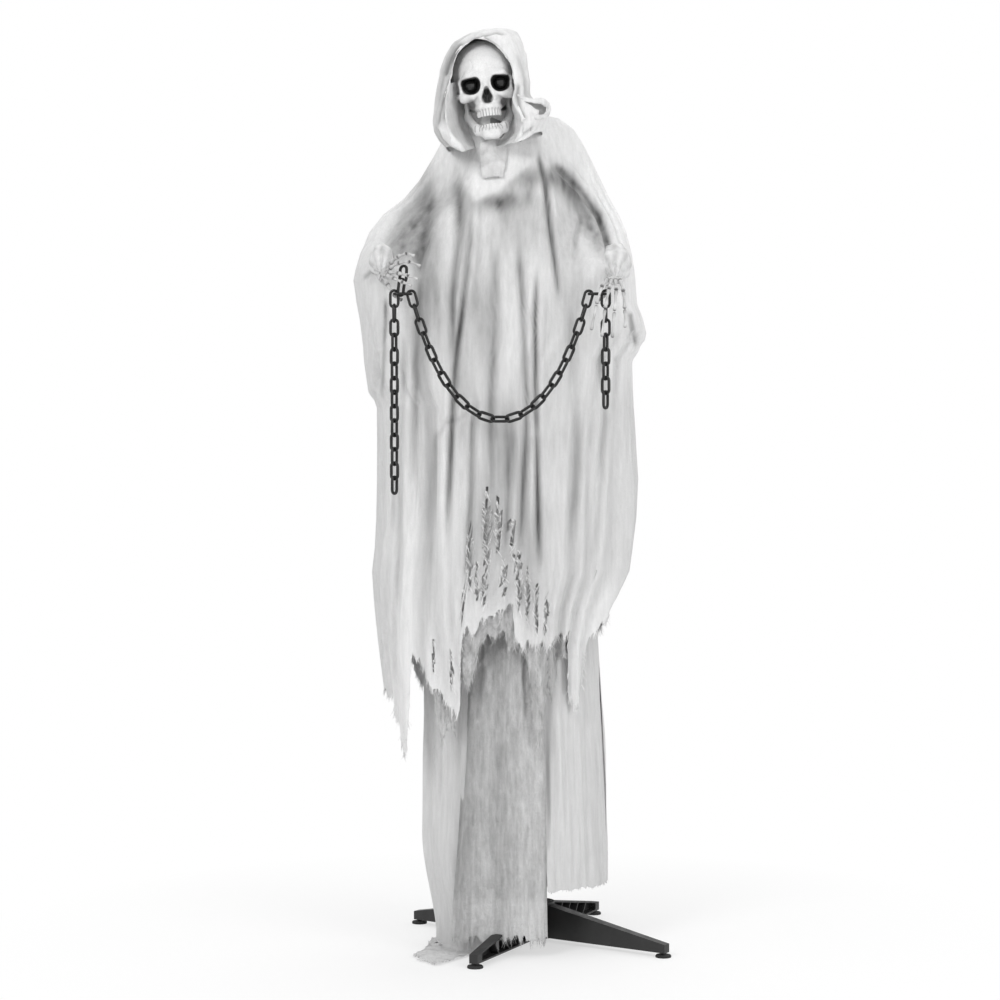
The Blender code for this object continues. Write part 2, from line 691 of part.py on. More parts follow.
def build_shoulders():
    """The tee on the spine, and the bar with a ratchet disc at each end."""
    tee = rod(
        "shoulder_tee", (TORSO_X, TORSO_Y, SPINE_TOP_Z - TEE_LENGTH), (TORSO_X, TORSO_Y, SHOULDER_Z),
        TEE_RADIUS, BLACK_PLASTIC, 16,
    )
    half = TEE_WIDTH / 2
    boolean(tee, along_x("tee_cross", TORSO_X - half, TORSO_X + half, BAR_RADIUS + TEE_WALL), "UNION")
    over = TEE_WIDTH
    boolean(tee, along_x("tee_cross_bore", TORSO_X - over, TORSO_X + over, BAR_RADIUS + SEAT_GAP))
    low = (TORSO_X, TORSO_Y, SPINE_TOP_Z - TEE_LENGTH - CUT_OVERRUN)
    top = (TORSO_X, TORSO_Y, SPINE_TOP_Z + SEAT_GAP)
    boolean(tee, rod("tee_bore", low, top, POLE_RADIUS + SEAT_GAP, None, 16))
    lug = block(
        "tee_lug", (NECK_LUG_WIDTH, TORSO_Y - NECK_Y - GEARBOX_DEPTH / 2 - SEAT_GAP, NECK_LUG_HEIGHT),
        (TORSO_X - NECK_LUG_SIDE, (TORSO_Y + NECK_Y + GEARBOX_DEPTH / 2 + SEAT_GAP) / 2, SHOULDER_Z - NECK_LUG_HEIGHT / 2),
    )
    boolean(lug, along_x("lug_bore", TORSO_X - over, TORSO_X + over, BAR_RADIUS + SEAT_GAP))
    boolean(tee, lug, "UNION")
    bar = along_x("shoulder_bar", TORSO_X - SHOULDER_HALF, TORSO_X + SHOULDER_HALF, BAR_RADIUS, BLACK_STEEL)
    for side in (-1, 1):
        end = TORSO_X + side * (SHOULDER_HALF + SEAM_GAP)
        start = TORSO_X + side * (SHOULDER_HALF - SHOULDER_HUB_LENGTH)
        boolean(bar, along_x(f"bar_disc_{side}", start, end, SHOULDER_HUB_RADIUS), "UNION")


def upper_arm(name, side, elbow):
    """The arm's ratchet disc, its upper tube and the elbow, in one piece."""
    start = TORSO_X + side * (SHOULDER_HALF + SEAM_GAP + RUN_GAP)
    end = start + side * ARM_DISC_LENGTH
    made = along_x(name, start, end, SHOULDER_HUB_RADIUS, BLACK_PLASTIC)
    root = Vector(((start + end) / 2 + side * ARM_DISC_LENGTH / 4, TORSO_Y, SHOULDER_Z))
    elbow = Vector(elbow)
    boolean(made, rod(name + "_tube", root, elbow, ARM_TUBE_RADIUS, None, 12), "UNION")
    boolean(made, egg(name + "_elbow", elbow, [ELBOW_RADIUS] * 3, None, 12, 6), "UNION")
    inner = start - side * CUT_OVERRUN
    return boolean(made, along_x(name + "_face", inner - side * SHOULDER_HUB_RADIUS, start, 2 * SHOULDER_HUB_RADIUS))


def forearm(name, elbow, wrist):
    elbow, wrist = Vector(elbow), Vector(wrist)
    along = (wrist - elbow).normalized()
    made = rod(name, elbow + along * ELBOW_RADIUS / 2, wrist, ARM_TUBE_RADIUS, BLACK_STEEL, 12)
    return boolean(made, egg(name + "_seat", elbow, [ELBOW_RADIUS + SEAT_GAP] * 3, None, 12, 6))


def hand(name, side, elbow, wrist, digits, thumb):
    """A skeleton hand in one moulding, its thumb under the chain's grip link."""
    wrist = Vector(wrist)
    along = (wrist - Vector(elbow)).normalized()
    carpal = wrist + along * SEAT_GAP
    made = rod(name, carpal, carpal + along * 2 * WRIST_SOCKET, ARM_TUBE_RADIUS, BONE, 12)
    palm = Vector((side * -PALM_SHARE[0], PALM_SHARE[1], PALM_SHARE[2])) * HAND_SIZE + wrist
    boolean(made, egg(name + "_palm", palm, PALM_RADII, None, 12, 8), "UNION")
    heel = carpal + along * WRIST_SOCKET
    for i, shares in enumerate(digits):
        route = [heel] + [wrist + Vector(share) * HAND_SIZE for share in shares]
        boolean(made, digit(f"{name}_digit_{i}", route), "UNION")
    under = grip_place(side) - Vector((0, 0, LINK_CORNER + DIGIT_RADIUS + RUN_GAP))
    reach = Vector((0, THUMB_REACH, 0))
    route = [heel, wrist + Vector(thumb) * HAND_SIZE, under + reach, under - reach]
    return boolean(made, digit(name + "_thumb", route), "UNION")


def digit(name, joints):
    """A bony finger: a tube that swells at each joint."""
    route, radii = [joints[0]], [1.0]
    for i, (start, end) in enumerate(zip(joints, joints[1:])):
        route += [start.lerp(end, 0.5), end]
        radii += [1.0, KNUCKLE_RADIUS / DIGIT_RADIUS if i < len(joints) - 2 else 0.8]
    return line(name, route, DIGIT_RADIUS, None, radii, resolution=0)


def build_arms():
    sides = (
        ("left", -1, LEFT_ELBOW, LEFT_WRIST, LEFT_DIGIT_SHARES, LEFT_THUMB_SHARE),
        ("right", 1, RIGHT_ELBOW, RIGHT_WRIST, RIGHT_DIGIT_SHARES, RIGHT_THUMB_SHARE),
    )
    for name, side, elbow, wrist, digits, thumb in sides:
        upper_arm(name + "_upper_arm", side, elbow)
        forearm(name + "_forearm", elbow, wrist)
        hand(name + "_hand", side, elbow, wrist, digits, thumb)
        link(name + "_grip_link", grip_place(side), (1, 0, 0), (0, 0, 1), CHAIN_PLASTIC)


# Chain

LINK_END = LINK_LENGTH / 2 - LINK_WIRE / 2
LINK_PITCH = LINK_LENGTH - 2 * LINK_WIRE + FUSE
LINK_CORNER = LINK_WIRE / 2 / math.cos(math.pi / LINK_ARC_POINTS / 2)
HOOK_REACH = LINK_WIRE + SEAT_GAP - (LINK_END - LINK_PITCH / 2)
DROP_HOOK_REACH = HOOK_REACH + LINK_CORNER - LINK_WIRE / 2


def grip_place(side):
    return Vector((side * GRIP_X, GRIP_Y, GRIP_Z))


def link(name, centre, along, normal, finish=None):
    """One oval link: its long axis, and the normal of its plane."""
    along, normal = Vector(along).normalized(), Vector(normal).normalized()
    across = normal.cross(along)
    radius = (LINK_WIDTH - LINK_WIRE) / 2
    tip = math.cos(math.pi / LINK_ARC_POINTS / 2) if LINK_ARC_POINTS % 2 else 1.0
    straight = LINK_END - radius * tip
    route = []
    for end in (1, -1):
        for i in range(LINK_ARC_POINTS + 1):
            turn = math.pi * (i / LINK_ARC_POINTS - 0.5)
            offset = along * (end * (straight + radius * math.cos(turn))) + across * (end * radius * math.sin(turn))
            route.append(Vector(centre) + offset)
    return line(name, route, LINK_CORNER, finish, cyclic=True, resolution=LINK_WIRE_STEPS)


def chain(name, start, directions, sideways):
    """A run of links from its first contact point, each turned a quarter against the last, in one body."""
    place, made, even, odd = Vector(start), None, [], []
    for i, direction in enumerate(directions):
        direction = Vector(direction).normalized()
        upright = direction.cross(Vector(sideways))
        centre = place + direction * LINK_PITCH / 2
        piece = link(f"{name}_link_{i}", centre, direction, Vector(sideways) if i % 2 == 0 else upright)
        (odd if i % 2 else even).append(piece)
        place += direction * LINK_PITCH
    made = gather(name, even, CHAIN_PLASTIC)
    return boolean(made, gather(name + "_odd_links", odd), "UNION")


def gather(name, pieces, finish=None):
    """Joins meshes that lie clear of each other into one mesh."""
    work = bmesh.new()
    for piece in pieces:
        work.from_mesh(piece.data)
        bpy.data.objects.remove(piece)
    return from_bmesh(name, work, finish)


def hanging_directions(count, span):
    """Directions of equal links that hang between two level hooks: the slope grows evenly from link to link."""
    def slopes(pull):
        return [math.atan((i - (count - 1) / 2) / pull) for i in range(count)]

    low, high = 0.01, 100.0
    for _ in range(60):
        pull = (low + high) / 2
        turns = slopes(pull)
        reach = sum(math.cos(turn) for turn in turns) * LINK_PITCH - 2 * HOOK_REACH * math.cos(turns[0])
        low, high = (pull, high) if reach < span else (low, pull)
    return [Vector((math.cos(turn), 0, math.sin(turn))) for turn in slopes(pull)]


def build_chain():
    inner = LINK_END
    span = 2 * (GRIP_X - inner)
    directions = hanging_directions(SWAG_LINKS, span)
    start = grip_place(-1) + Vector((inner, 0, 0)) - directions[0] * HOOK_REACH
    chain("chain_swag", start, directions, (0, 1, 0))
    down = Vector((0, 0, -1))
    top = grip_place(-1) - Vector((inner, 0, 0)) - down * DROP_HOOK_REACH
    chain("chain_left_upper", top, [down] * LEFT_DROP_UPPER_LINKS, (0, 1, 0))
    gap = FUSE + RUN_GAP
    lower = top + down * (LEFT_DROP_UPPER_LINKS * LINK_PITCH - gap)
    sideways = (1, 0, 0) if LEFT_DROP_UPPER_LINKS % 2 else (0, 1, 0)
    chain("chain_left_lower", lower, [down] * LEFT_DROP_LOWER_LINKS, sideways)
    top = grip_place(1) + Vector((inner, 0, 0)) - down * DROP_HOOK_REACH
    chain("chain_right", top, [down] * RIGHT_DROP_LINKS, (0, 1, 0))


# Skull

def skull_point(x, y, z):
    """A place on the skull, from its own axes to the figure's."""
    turn = Matrix.Rotation(HEAD_ROLL, 4, "Y")
    return Vector((HEAD_X, HEAD_Y, HEAD_Z)) + turn @ Vector((x, y, z))


def skull_egg(name, centre, radii, finish=None, segments=16, rings=10):
    made = egg(name, skull_point(*centre), radii, finish, segments, rings)
    made.rotation_euler.y = HEAD_ROLL
    return made


def skull_bar(name, start, end, radius, segments=8):
    return rod(name, skull_point(*start), skull_point(*end), radius, None, segments)


def skull_box(name, low, high):
    size = [b - a for a, b in zip(low, high)]
    made = block(name, size, skull_point(*[(a + b) / 2 for a, b in zip(low, high)]))
    made.rotation_euler.y = HEAD_ROLL
    return made


CRANIUM_CENTRE = (0, CRANIUM_BACK, CRANIUM_RISE)
CRANIUM_RADII = (CRANIUM_HALF_WIDTH, CRANIUM_HALF_LENGTH, CRANIUM_HALF_HEIGHT)


def cavity(name, clearance=0.0, finish=None):
    radii = [radius - SKULL_WALL - clearance for radius in CRANIUM_RADII]
    return skull_egg(name, CRANIUM_CENTRE, radii, finish, 12, 7)


def fossa(name):
    """Room for the jaw's branches between the braincase and the cheek arches, on both sides."""
    work = bmesh.new()
    for side in (-1, 1):
        inner, outer = JAW_HALF_WIDTH - JAW_BONE_RADIUS - RUN_GAP, CRANIUM_HALF_WIDTH + CUT_OVERRUN
        size = (outer - inner, FOSSA_LENGTH, JAW_PIVOT_Z + FOSSA_RISE - CHIN_Z)
        place = (side * (inner + outer) / 2, JAW_PIVOT_Y + FOSSA_SHIFT, (JAW_PIVOT_Z + FOSSA_RISE + CHIN_Z) / 2)
        bmesh.ops.create_cube(work, size=1.0, matrix=Matrix.Translation(place) @ Matrix.Diagonal((*size, 1.0)))
    made = from_bmesh(name, work, None, smooth=False)
    made.location = skull_point(0, 0, 0)
    made.rotation_euler.y = HEAD_ROLL
    return made


def skull_half(name, front):
    """The front or the back shell of the skull."""
    made = skull_egg(name, CRANIUM_CENTRE, CRANIUM_RADII, BONE, 16, 9)
    if front:
        muzzle_radii = (MUZZLE_HALF_WIDTH, MUZZLE_DEPTH, MUZZLE_HALF_HEIGHT)
        muzzle = skull_egg(name + "_muzzle", (0, MUZZLE_Y, MUZZLE_Z), muzzle_radii, None, 12, 7)
        boolean(made, muzzle, "UNION")
        for side in (-1, 1):
            place = (side * CHEEK_SPREAD, CHEEK_Y, -CHEEK_DROP)
            cheek = skull_egg(f"{name}_cheek_{side}", place, CHEEK_RADII, None, 8, 6)
            boolean(made, cheek, "UNION")
            place = (side * EYE_SPREAD, BROW_Y, BROW_RISE)
            brow = skull_egg(f"{name}_brow_{side}", place, BROW_RADII, None, 8, 6)
            boolean(made, brow, "UNION")
        boolean(made, fossa(name + "_fossa"))
        for side in (-1, 1):
            start = (side * CHEEK_SPREAD, CHEEK_Y, -CHEEK_DROP)
            pivot = (side * ARCH_SPREAD, JAW_PIVOT_Y, JAW_PIVOT_Z)
            end = (side * ARCH_END_SPREAD, SKULL_SPLIT_Y, 0)
            route = rounded([skull_point(*point) for point in (start, pivot, end)], ARCH_RADIUS, 2)
            boolean(made, line(f"{name}_arch_{side}", route, ARCH_RADIUS), "UNION")
            inner = (side * (ARCH_SPREAD - 2 * ARCH_RADIUS), JAW_PIVOT_Y, JAW_PIVOT_Z)
            outer = (side * (ARCH_SPREAD + 2 * ARCH_RADIUS), JAW_PIVOT_Y, JAW_PIVOT_Z)
            boolean(made, skull_bar(f"{name}_pivot_{side}", inner, outer, JAW_PIN_RADIUS + SEAT_GAP))
        boolean(made, cavity(name + "_cavity"))
        for side in (-1, 1):
            socket_radii = (SOCKET_HALF_WIDTH, SOCKET_DEPTH, SOCKET_HALF_HEIGHT)
            place = (side * EYE_SPREAD, -FACE_DEPTH, 0)
            boolean(made, skull_egg(f"{name}_socket_{side}", place, socket_radii, None, 10, 6))
            eye_radii = [EYE_RADIUS + SEAT_GAP] * 3
            boolean(made, skull_egg(f"{name}_eye_{side}", (side * EYE_SPREAD, EYE_Y, 0), eye_radii, None, 12, 7))
        nose_radii = (NOSE_HALF_WIDTH, NOSE_DEPTH, NOSE_HALF_HEIGHT)
        boolean(made, skull_egg(name + "_nose", (0, -FACE_DEPTH, -NOSE_DROP), nose_radii, None, 10, 6))
        low = (-CRANIUM_HALF_WIDTH, -2 * FACE_DEPTH, 2 * CHIN_Z)
        high = (CRANIUM_HALF_WIDTH, SKULL_SPLIT_Y, UPPER_TEETH_Z)
        boolean(made, skull_box(name + "_mouth", low, high))
        boolean(made, skull_egg(name + "_palate", (0, MUZZLE_Y, UPPER_TEETH_Z), PALATE_RADII, None, 8, 6))
    else:
        low, high = (NECK_X, NECK_Y, NECK_BOSS_LOW_Z), (NECK_X, NECK_Y, NECK_BOSS_TOP_Z)
        boss = rod(name + "_boss", low, high, NECK_BOSS_RADIUS, None, 16)
        boolean(made, fossa(name + "_fossa"))
        boolean(made, cavity(name + "_cavity"))
        boolean(made, boss, "UNION")
        low = (NECK_X, NECK_Y, NECK_BOSS_LOW_Z - CUT_OVERRUN)
        high = (NECK_X, NECK_Y, NECK_SHAFT_TOP_Z + SEAT_GAP)
        boolean(made, rod(name + "_shaft_hole", low, high, NECK_SHAFT_RADIUS + SEAT_GAP, None, 14))
    reach = 2 * CRANIUM_HALF_LENGTH
    split = SKULL_SPLIT_Y + (-SEAT_GAP / 2 if front else SEAT_GAP / 2)
    far = (split, split + reach) if front else (split - reach, split)
    return boolean(made, skull_box(name + "_split", (-reach, far[0], -reach), (reach, far[1], reach)))


def jaw():
    """The lower jaw: a bowed bone, its gum and teeth, and a moulded pin at the top of each branch."""
    branch, body, front = JAW_WIDTH_SHARES
    route = [
        (JAW_HALF_WIDTH, JAW_PIVOT_Y, JAW_PIVOT_Z), (JAW_HALF_WIDTH * branch, JAW_PIVOT_Y, JAW_ANGLE_Z),
        (JAW_HALF_WIDTH * body, (JAW_PIVOT_Y + CHIN_Y) / 2, (JAW_ANGLE_Z + CHIN_Z) / 2),
        (JAW_HALF_WIDTH * front, CHIN_Y, CHIN_Z),
    ]
    points = [skull_point(-x, y, z) for x, y, z in route] + [skull_point(*point) for point in route[::-1]]
    made = line("jaw", rounded(points, JAW_BONE_RADIUS, 2), JAW_BONE_RADIUS, BONE)
    for name, height, radius in (("gum", JAW_GUM_Z, GUM_RADIUS), ("teeth", JAW_TEETH_Z, TOOTH_RADIUS)):
        arch = [math.pi * i / TEETH_ARCH_STEPS for i in range(TEETH_ARCH_STEPS + 1)]
        points = [
            skull_point(math.cos(turn) * TEETH_HALF_WIDTH, TEETH_BACK_Y - math.sin(turn) * TEETH_DEPTH, height)
            for turn in arch
        ]
        boolean(made, line("jaw_" + name, points, radius), "UNION")
    for side in (-1, 1):
        start = (side * JAW_HALF_WIDTH, JAW_PIVOT_Y, JAW_PIVOT_Z)
        end = (side * (ARCH_SPREAD + ARCH_RADIUS / 2), JAW_PIVOT_Y, JAW_PIVOT_Z)
        boolean(made, skull_bar(f"jaw_pin_{side}", start, end, JAW_PIN_RADIUS), "UNION")
    return made


def build_head():
    skull_half("skull_face", True)
    skull_half("skull_back", False)
    jaw()
    eye_back = EYE_Y + EYE_RADIUS + SEAT_GAP
    for name, side in (("eye_left", -1), ("eye_right", 1)):
        skull_egg(name, (side * EYE_SPREAD, EYE_Y, 0), [EYE_RADIUS] * 3, EYE_LENS, 12, 7)
    low = (-CRANIUM_HALF_WIDTH, eye_back, -EYE_PLATE_HALF_HEIGHT)
    plate = skull_box("eye_plate", low, (CRANIUM_HALF_WIDTH, eye_back + EYE_PLATE, EYE_PLATE_HALF_HEIGHT))
    CUTTERS.objects.unlink(plate)
    plate.hide_render = False
    keep(plate, GREY_PLASTIC, smooth=False)
    boolean(plate, cavity("eye_plate_room", SEAT_GAP), "INTERSECT")
    low, high = GEARBOX_TOP_Z - NECK_SHAFT_SEAT, NECK_SHAFT_TOP_Z
    rod("neck_shaft", (NECK_X, NECK_Y, low), (NECK_X, NECK_Y, high), NECK_SHAFT_RADIUS, BLACK_STEEL, 14)
    low = NECK_BOSS_TOP_Z + SEAT_GAP
    rod("jaw_motor", (NECK_X, NECK_Y, low), (NECK_X, NECK_Y, low + JAW_MOTOR_LENGTH), NECK_BOSS_RADIUS, GREY_PLASTIC, 16)
    centre = (NECK_X, NECK_Y, GEARBOX_TOP_Z - GEARBOX_HEIGHT / 2)
    gearbox = bevel(block("neck_gearbox", (GEARBOX_WIDTH, GEARBOX_DEPTH, GEARBOX_HEIGHT), centre, GREY_PLASTIC), 0.002)
    low, high = GEARBOX_TOP_Z - NECK_SHAFT_SEAT - SEAT_GAP, GEARBOX_TOP_Z + CUT_OVERRUN
    boolean(gearbox, rod("gearbox_hole", (NECK_X, NECK_Y, low), (NECK_X, NECK_Y, high), NECK_SHAFT_RADIUS + RUN_GAP, None, 14))


# Cloth

def hem_share(u):
    """How far down the robe's ragged hem comes at a share of the way round."""
    row, place = (FRONT_HEM_SHARES, 2 * u) if u < 0.5 else (BACK_HEM_SHARES, 2 * u - 1)
    place *= len(row) - 1
    first = min(int(place), len(row) - 2)
    return row[first] + (row[first + 1] - row[first]) * (place - first)


def robe_point(u, row, inset=0.0):
    """A point of the robe's inner face: u runs from the right side round the front, row from the neck down."""
    share = (row / ROBE_ROWS) ** ROBE_ROW_POWER * hem_share(u)
    _, middle_x, middle_y, left, right, front, back, fold = through_table(ROBE_SECTION_SHARES, share)
    turn = -2 * math.pi * u
    side, ahead = math.cos(turn), math.sin(turn)
    below = (share - COLLAR_END_SHARE) / (CHEST_START_SHARE - COLLAR_END_SHARE)
    depth = COLLAR_HALF_DEPTH + (ROBE_HALF_DEPTH - COLLAR_HALF_DEPTH) * min(max(below, 0.0), 1.0)
    reach_x = (right if side > 0 else left) * ROBE_HALF_WIDTH - inset
    reach_y = (back if ahead > 0 else front) * depth - inset
    bulge = ROBE_FOLD * fold * (1 - math.cos(2 * math.pi * ROBE_FOLDS * u)) / 2
    return Vector((
        middle_x * ROBE_HALF_WIDTH + (reach_x + bulge) * side,
        middle_y * depth + (reach_y + bulge) * ahead,
        ROBE_TOP_Z - share * ROBE_DROP - inset,
    ))


def armholes(name, thing, start):
    """Cuts the way out for both arms."""
    z = SHOULDER_Z - ARMHOLE_DROP
    for side in (-1, 1):
        near, far = TORSO_X + side * start, TORSO_X + side * (ROBE_HALF_WIDTH + CUT_OVERRUN)
        hole = boolean(thing, along_x(f"{name}_armhole_{side}", near, far, ARMHOLE_RADIUS, None, 20, TORSO_Y, z))
        hole.modifiers[-1].solver = ARMHOLE_SOLVER


def build_robe():
    columns = 4 * ROBE_FOLDS
    robe = sheet("robe", columns, ROBE_ROWS, lambda u, v: robe_point(u, v * ROBE_ROWS), GAUZE, wrap=True, outward=True)
    armholes("robe", robe, SHOULDER_HALF + SEAM_GAP)
    span = FLAP_COLUMNS / columns
    middle = round(FLAP_PLACE_SHARE * columns) / columns

    def flap_point(u, v):
        inside = robe_point(middle + (u - 0.5) * span, FLAP_TOP_ROW + v * FLAP_ROWS)
        outside = robe_point(middle + (u - 0.5) * span, FLAP_TOP_ROW + v * FLAP_ROWS, -CLOTH)
        return inside + (outside - inside).normalized() * (CLOTH * 2 + SEAT_GAP)

    sheet("chest_flap", FLAP_COLUMNS, FLAP_ROWS, flap_point, GAUZE)


def build_torso():
    """A foam torso that fills the robe's shoulders, cut out round the frame."""
    columns = 4 * ROBE_FOLDS
    work = bmesh.new()
    rings = []
    for row in range(TORSO_ROWS + 1):
        ring = [work.verts.new(robe_point(i / columns, row, FORM_GAP)) for i in range(columns)]
        rings.append(ring)
    for low, high in zip(rings, rings[1:]):
        for i in range(columns):
            work.faces.new((low[i - 1], low[i], high[i], high[i - 1]))
    work.faces.new(rings[0])
    work.faces.new(rings[-1])
    form = from_bmesh("torso_form", work, FOAM)
    low = (TORSO_X - ROBE_HALF_WIDTH, -ROBE_HALF_DEPTH, ROBE_TOP_Z - FORM_DROP)
    high = (TORSO_X + ROBE_HALF_WIDTH, ROBE_HALF_DEPTH, ROBE_TOP_Z + CUT_OVERRUN)
    size = [b - a for a, b in zip(low, high)]
    boolean(form, block("torso_block", size, [(a + b) / 2 for a, b in zip(low, high)]), "INTERSECT")
    armholes("torso", form, SHOULDER_HALF + SEAM_GAP)
    half = SHOULDER_HALF + SEAM_GAP + RUN_GAP + ARM_DISC_LENGTH + RUN_GAP
    inner = SHOULDER_HALF - SHOULDER_HUB_LENGTH - SEAT_GAP
    for side in (-1, 1):
        ends = (TORSO_X + side * inner, TORSO_X + side * half)
        boolean(form, along_x(f"torso_disc_room_{side}", ends[0], ends[1], SHOULDER_HUB_RADIUS + SEAT_GAP))
    boolean(form, along_x("torso_bar_room", TORSO_X - inner, TORSO_X + inner, BAR_RADIUS + TEE_WALL + SEAT_GAP))
    low = (TORSO_X, TORSO_Y, ROBE_TOP_Z - FORM_DROP - CUT_OVERRUN)
    boolean(form, rod("torso_tee_room", low, (TORSO_X, TORSO_Y, SHOULDER_Z), TEE_RADIUS + SEAT_GAP, None, 16))
    low = (NECK_X - GEARBOX_WIDTH / 2 - SEAT_GAP, NECK_Y - GEARBOX_DEPTH / 2 - SEAT_GAP, GEARBOX_TOP_Z - GEARBOX_HEIGHT - SEAT_GAP)
    high = (NECK_X + GEARBOX_WIDTH / 2 + SEAT_GAP, TORSO_Y + SEAT_GAP, ROBE_TOP_Z + CUT_OVERRUN)
    size = [b - a for a, b in zip(low, high)]
    boolean(form, block("torso_gearbox_room", size, [(a + b) / 2 for a, b in zip(low, high)]))


def build_hood():
    skull_top = HEAD_Z + CRANIUM_RISE + CRANIUM_HALF_HEIGHT + SEAT_GAP

    def place(u, v):
        turn = -2 * math.pi * u
        side, ahead = math.cos(turn), math.sin(turn)
        hem = HOOD_BACK_HEM_SHARE + (1 - HOOD_BACK_HEM_SHARE) * max(0.0, -ahead) ** 1.5
        share = v ** 2 * hem
        _, middle_x, middle_y, left, right, front, back = through_table(HOOD_SECTION_SHARES, share)
        return Vector((
            (middle_x + (right if side > 0 else left) * side) * HOOD_HALF,
            (middle_y + (back if ahead > 0 else front) * ahead) * HOOD_HALF,
            skull_top - share * HOOD_DROP,
        ))

    hood = sheet("hood", HOOD_COLUMNS, HOOD_ROWS, place, GAUZE, wrap=True, outward=True)
    centre = (HEAD_X + HOOD_OPENING_SHIFT, HEAD_Y - FACE_DEPTH, HEAD_Z + HOOD_OPENING_RISE)
    opening = egg("hood_opening", centre, HOOD_OPENING_RADII, None, 20, 12)
    opening.rotation_euler.y = HEAD_ROLL
    boolean(hood, opening)


def sleeve(name, side, reach, elbow, wrist):
    """A wide sleeve that hangs over the arm to the wrist, from its start at a reach from the middle."""
    elbow, wrist = Vector(elbow), Vector(wrist)
    shoulder = Vector((TORSO_X + side * SHOULDER_HALF, TORSO_Y, SHOULDER_Z))
    along_arm = (reach - side * TORSO_X - SHOULDER_HALF) / (abs(elbow.x) - side * TORSO_X - SHOULDER_HALF)
    start = shoulder.lerp(elbow, along_arm)

    def place(u, v):
        place_on = 2 * v
        along = start.lerp(elbow, place_on) if place_on < 1 else elbow.lerp(wrist, place_on - 1)
        turn = math.radians(90.0) * min(max(place_on - SLEEVE_TURN_SHARE, 0.0), 1.0)
        across = Vector((math.sin(turn) * side, math.cos(turn), 0))
        top, hang, width, throw = through_table(SLEEVE_SECTION_SHARES, v)[1:]
        angle = 2 * math.pi * u
        up, out = math.cos(angle), math.sin(angle)
        rise = up * (top if up > 0 else hang) * SLEEVE_HANG
        lean = side * max(0.0, -up) * throw * SLEEVE_HANG
        return along + across * out * width * SLEEVE_HANG + Vector((lean, 0, rise))

    sheet(name, SLEEVE_COLUMNS, SLEEVE_ROWS, place, GAUZE, wrap=True, outward=True)


def skirt_panel(name, turns, columns, drop, ragged, trail, finish):
    """A gauze panel that hangs from the hoop between two angles, its end on the floor if it is long enough."""
    def place(u, v):
        turn = math.radians(turns[0] + (turns[1] - turns[0]) * u)
        wave = math.cos(SKIRT_FOLDS * turn)
        length = (drop - ragged * (1 + math.cos(u * SKIRT_RAGS * math.pi)) / 2) * v
        fall = min(length, SKIRT_TOP_Z - SKIRT_FLOOR_Z)
        share = fall / SKIRT_TOP_Z
        reach = HOOP_RADIUS + RUN_GAP + CLOTH / 2 + SKIRT_FLARE * share + SKIRT_FOLD * (1 + wave) / 2 * share
        x = HOOP_X + (HOOP_HALF_WIDTH + reach) * math.cos(turn)
        y = HOOP_Y + (HOOP_HALF_DEPTH + reach) * math.sin(turn)
        rest = length - fall
        return Vector((x + rest * trail[0], y + rest * trail[1], SKIRT_TOP_Z - fall))

    return sheet(name, columns, SKIRT_ROWS, place, finish)


def build_skirts():
    hoop_z = SKIRT_TOP_Z - 2 * HOOP_RADIUS
    turns = [2 * math.pi * i / HOOP_STEPS for i in range(HOOP_STEPS)]
    ring = [(HOOP_X + HOOP_HALF_WIDTH * math.cos(t), HOOP_Y + HOOP_HALF_DEPTH * math.sin(t), hoop_z) for t in turns]
    low, high = (HUB_X, 0, hoop_z - HOOP_COLLAR / 2), (HUB_X, 0, hoop_z + HOOP_COLLAR / 2)
    hoop = rod("waist_hoop", low, high, COLLAR_RADIUS, BLACK_PLASTIC, 16)
    boolean(hoop, line("hoop_ring", ring, HOOP_RADIUS, cyclic=True, resolution=0), "UNION")
    for i in range(HOOP_SPOKES):
        end = ring[round(i * HOOP_STEPS / HOOP_SPOKES)]
        boolean(hoop, rod(f"hoop_spoke_{i}", (HUB_X, 0, hoop_z), end, HOOP_RADIUS, None, 8), "UNION")
    low, high = (HUB_X, 0, hoop_z - HOOP_COLLAR), (HUB_X, 0, hoop_z + HOOP_COLLAR)
    boolean(hoop, rod("hoop_bore", low, high, POLE_RADIUS + SEAT_GAP, None, 16))
    panels = (
        ("skirt_left", (-188, -121), 10, LEFT_SKIRT_DROP, 0.0, LEFT_SKIRT_TRAIL, GAUZE),
        ("skirt_centre", (-118, -64), 8, CENTRE_SKIRT_DROP, SKIRT_RAG, (0, 0), GREY_GAUZE),
        ("skirt_right", (-58, -8), 8, RIGHT_SKIRT_DROP, SKIRT_RAG, (0, 0), GAUZE),
        ("skirt_back", (-4, 168), 16, BACK_SKIRT_DROP, SKIRT_RAG, (0, 0), GAUZE),
    )
    for name, angles, columns, drop, ragged, trail, finish in panels:
        skirt_panel(name, angles, columns, drop, ragged, trail, finish)


def build_cloth():
    build_robe()
    build_torso()
    build_hood()
    sleeve("left_sleeve", -1, LEFT_SLEEVE_SHARE * ROBE_HALF_WIDTH, LEFT_ELBOW, LEFT_WRIST)
    sleeve("right_sleeve", 1, RIGHT_SLEEVE_SHARE * ROBE_HALF_WIDTH, RIGHT_ELBOW, RIGHT_WRIST)
    build_skirts()


# Control box

def box_place(x, y, z):
    """A place in the box: x and z from its middle, y from its front face."""
    return HUB_X + x, POLE_RADIUS + SEAT_GAP + y, BOX_CENTRE_Z + z


def box_part(name, size, x, y, z, finish=None):
    """A block whose front face lies y behind the box's front face."""
    return block(name, size, box_place(x, y + size[1] / 2, z), finish)


def box_pin(name, x, y, z, length, radius, finish=None, segments=16):
    return rod(name, box_place(x, y, z), box_place(x, y + length, z), radius, finish, segments)


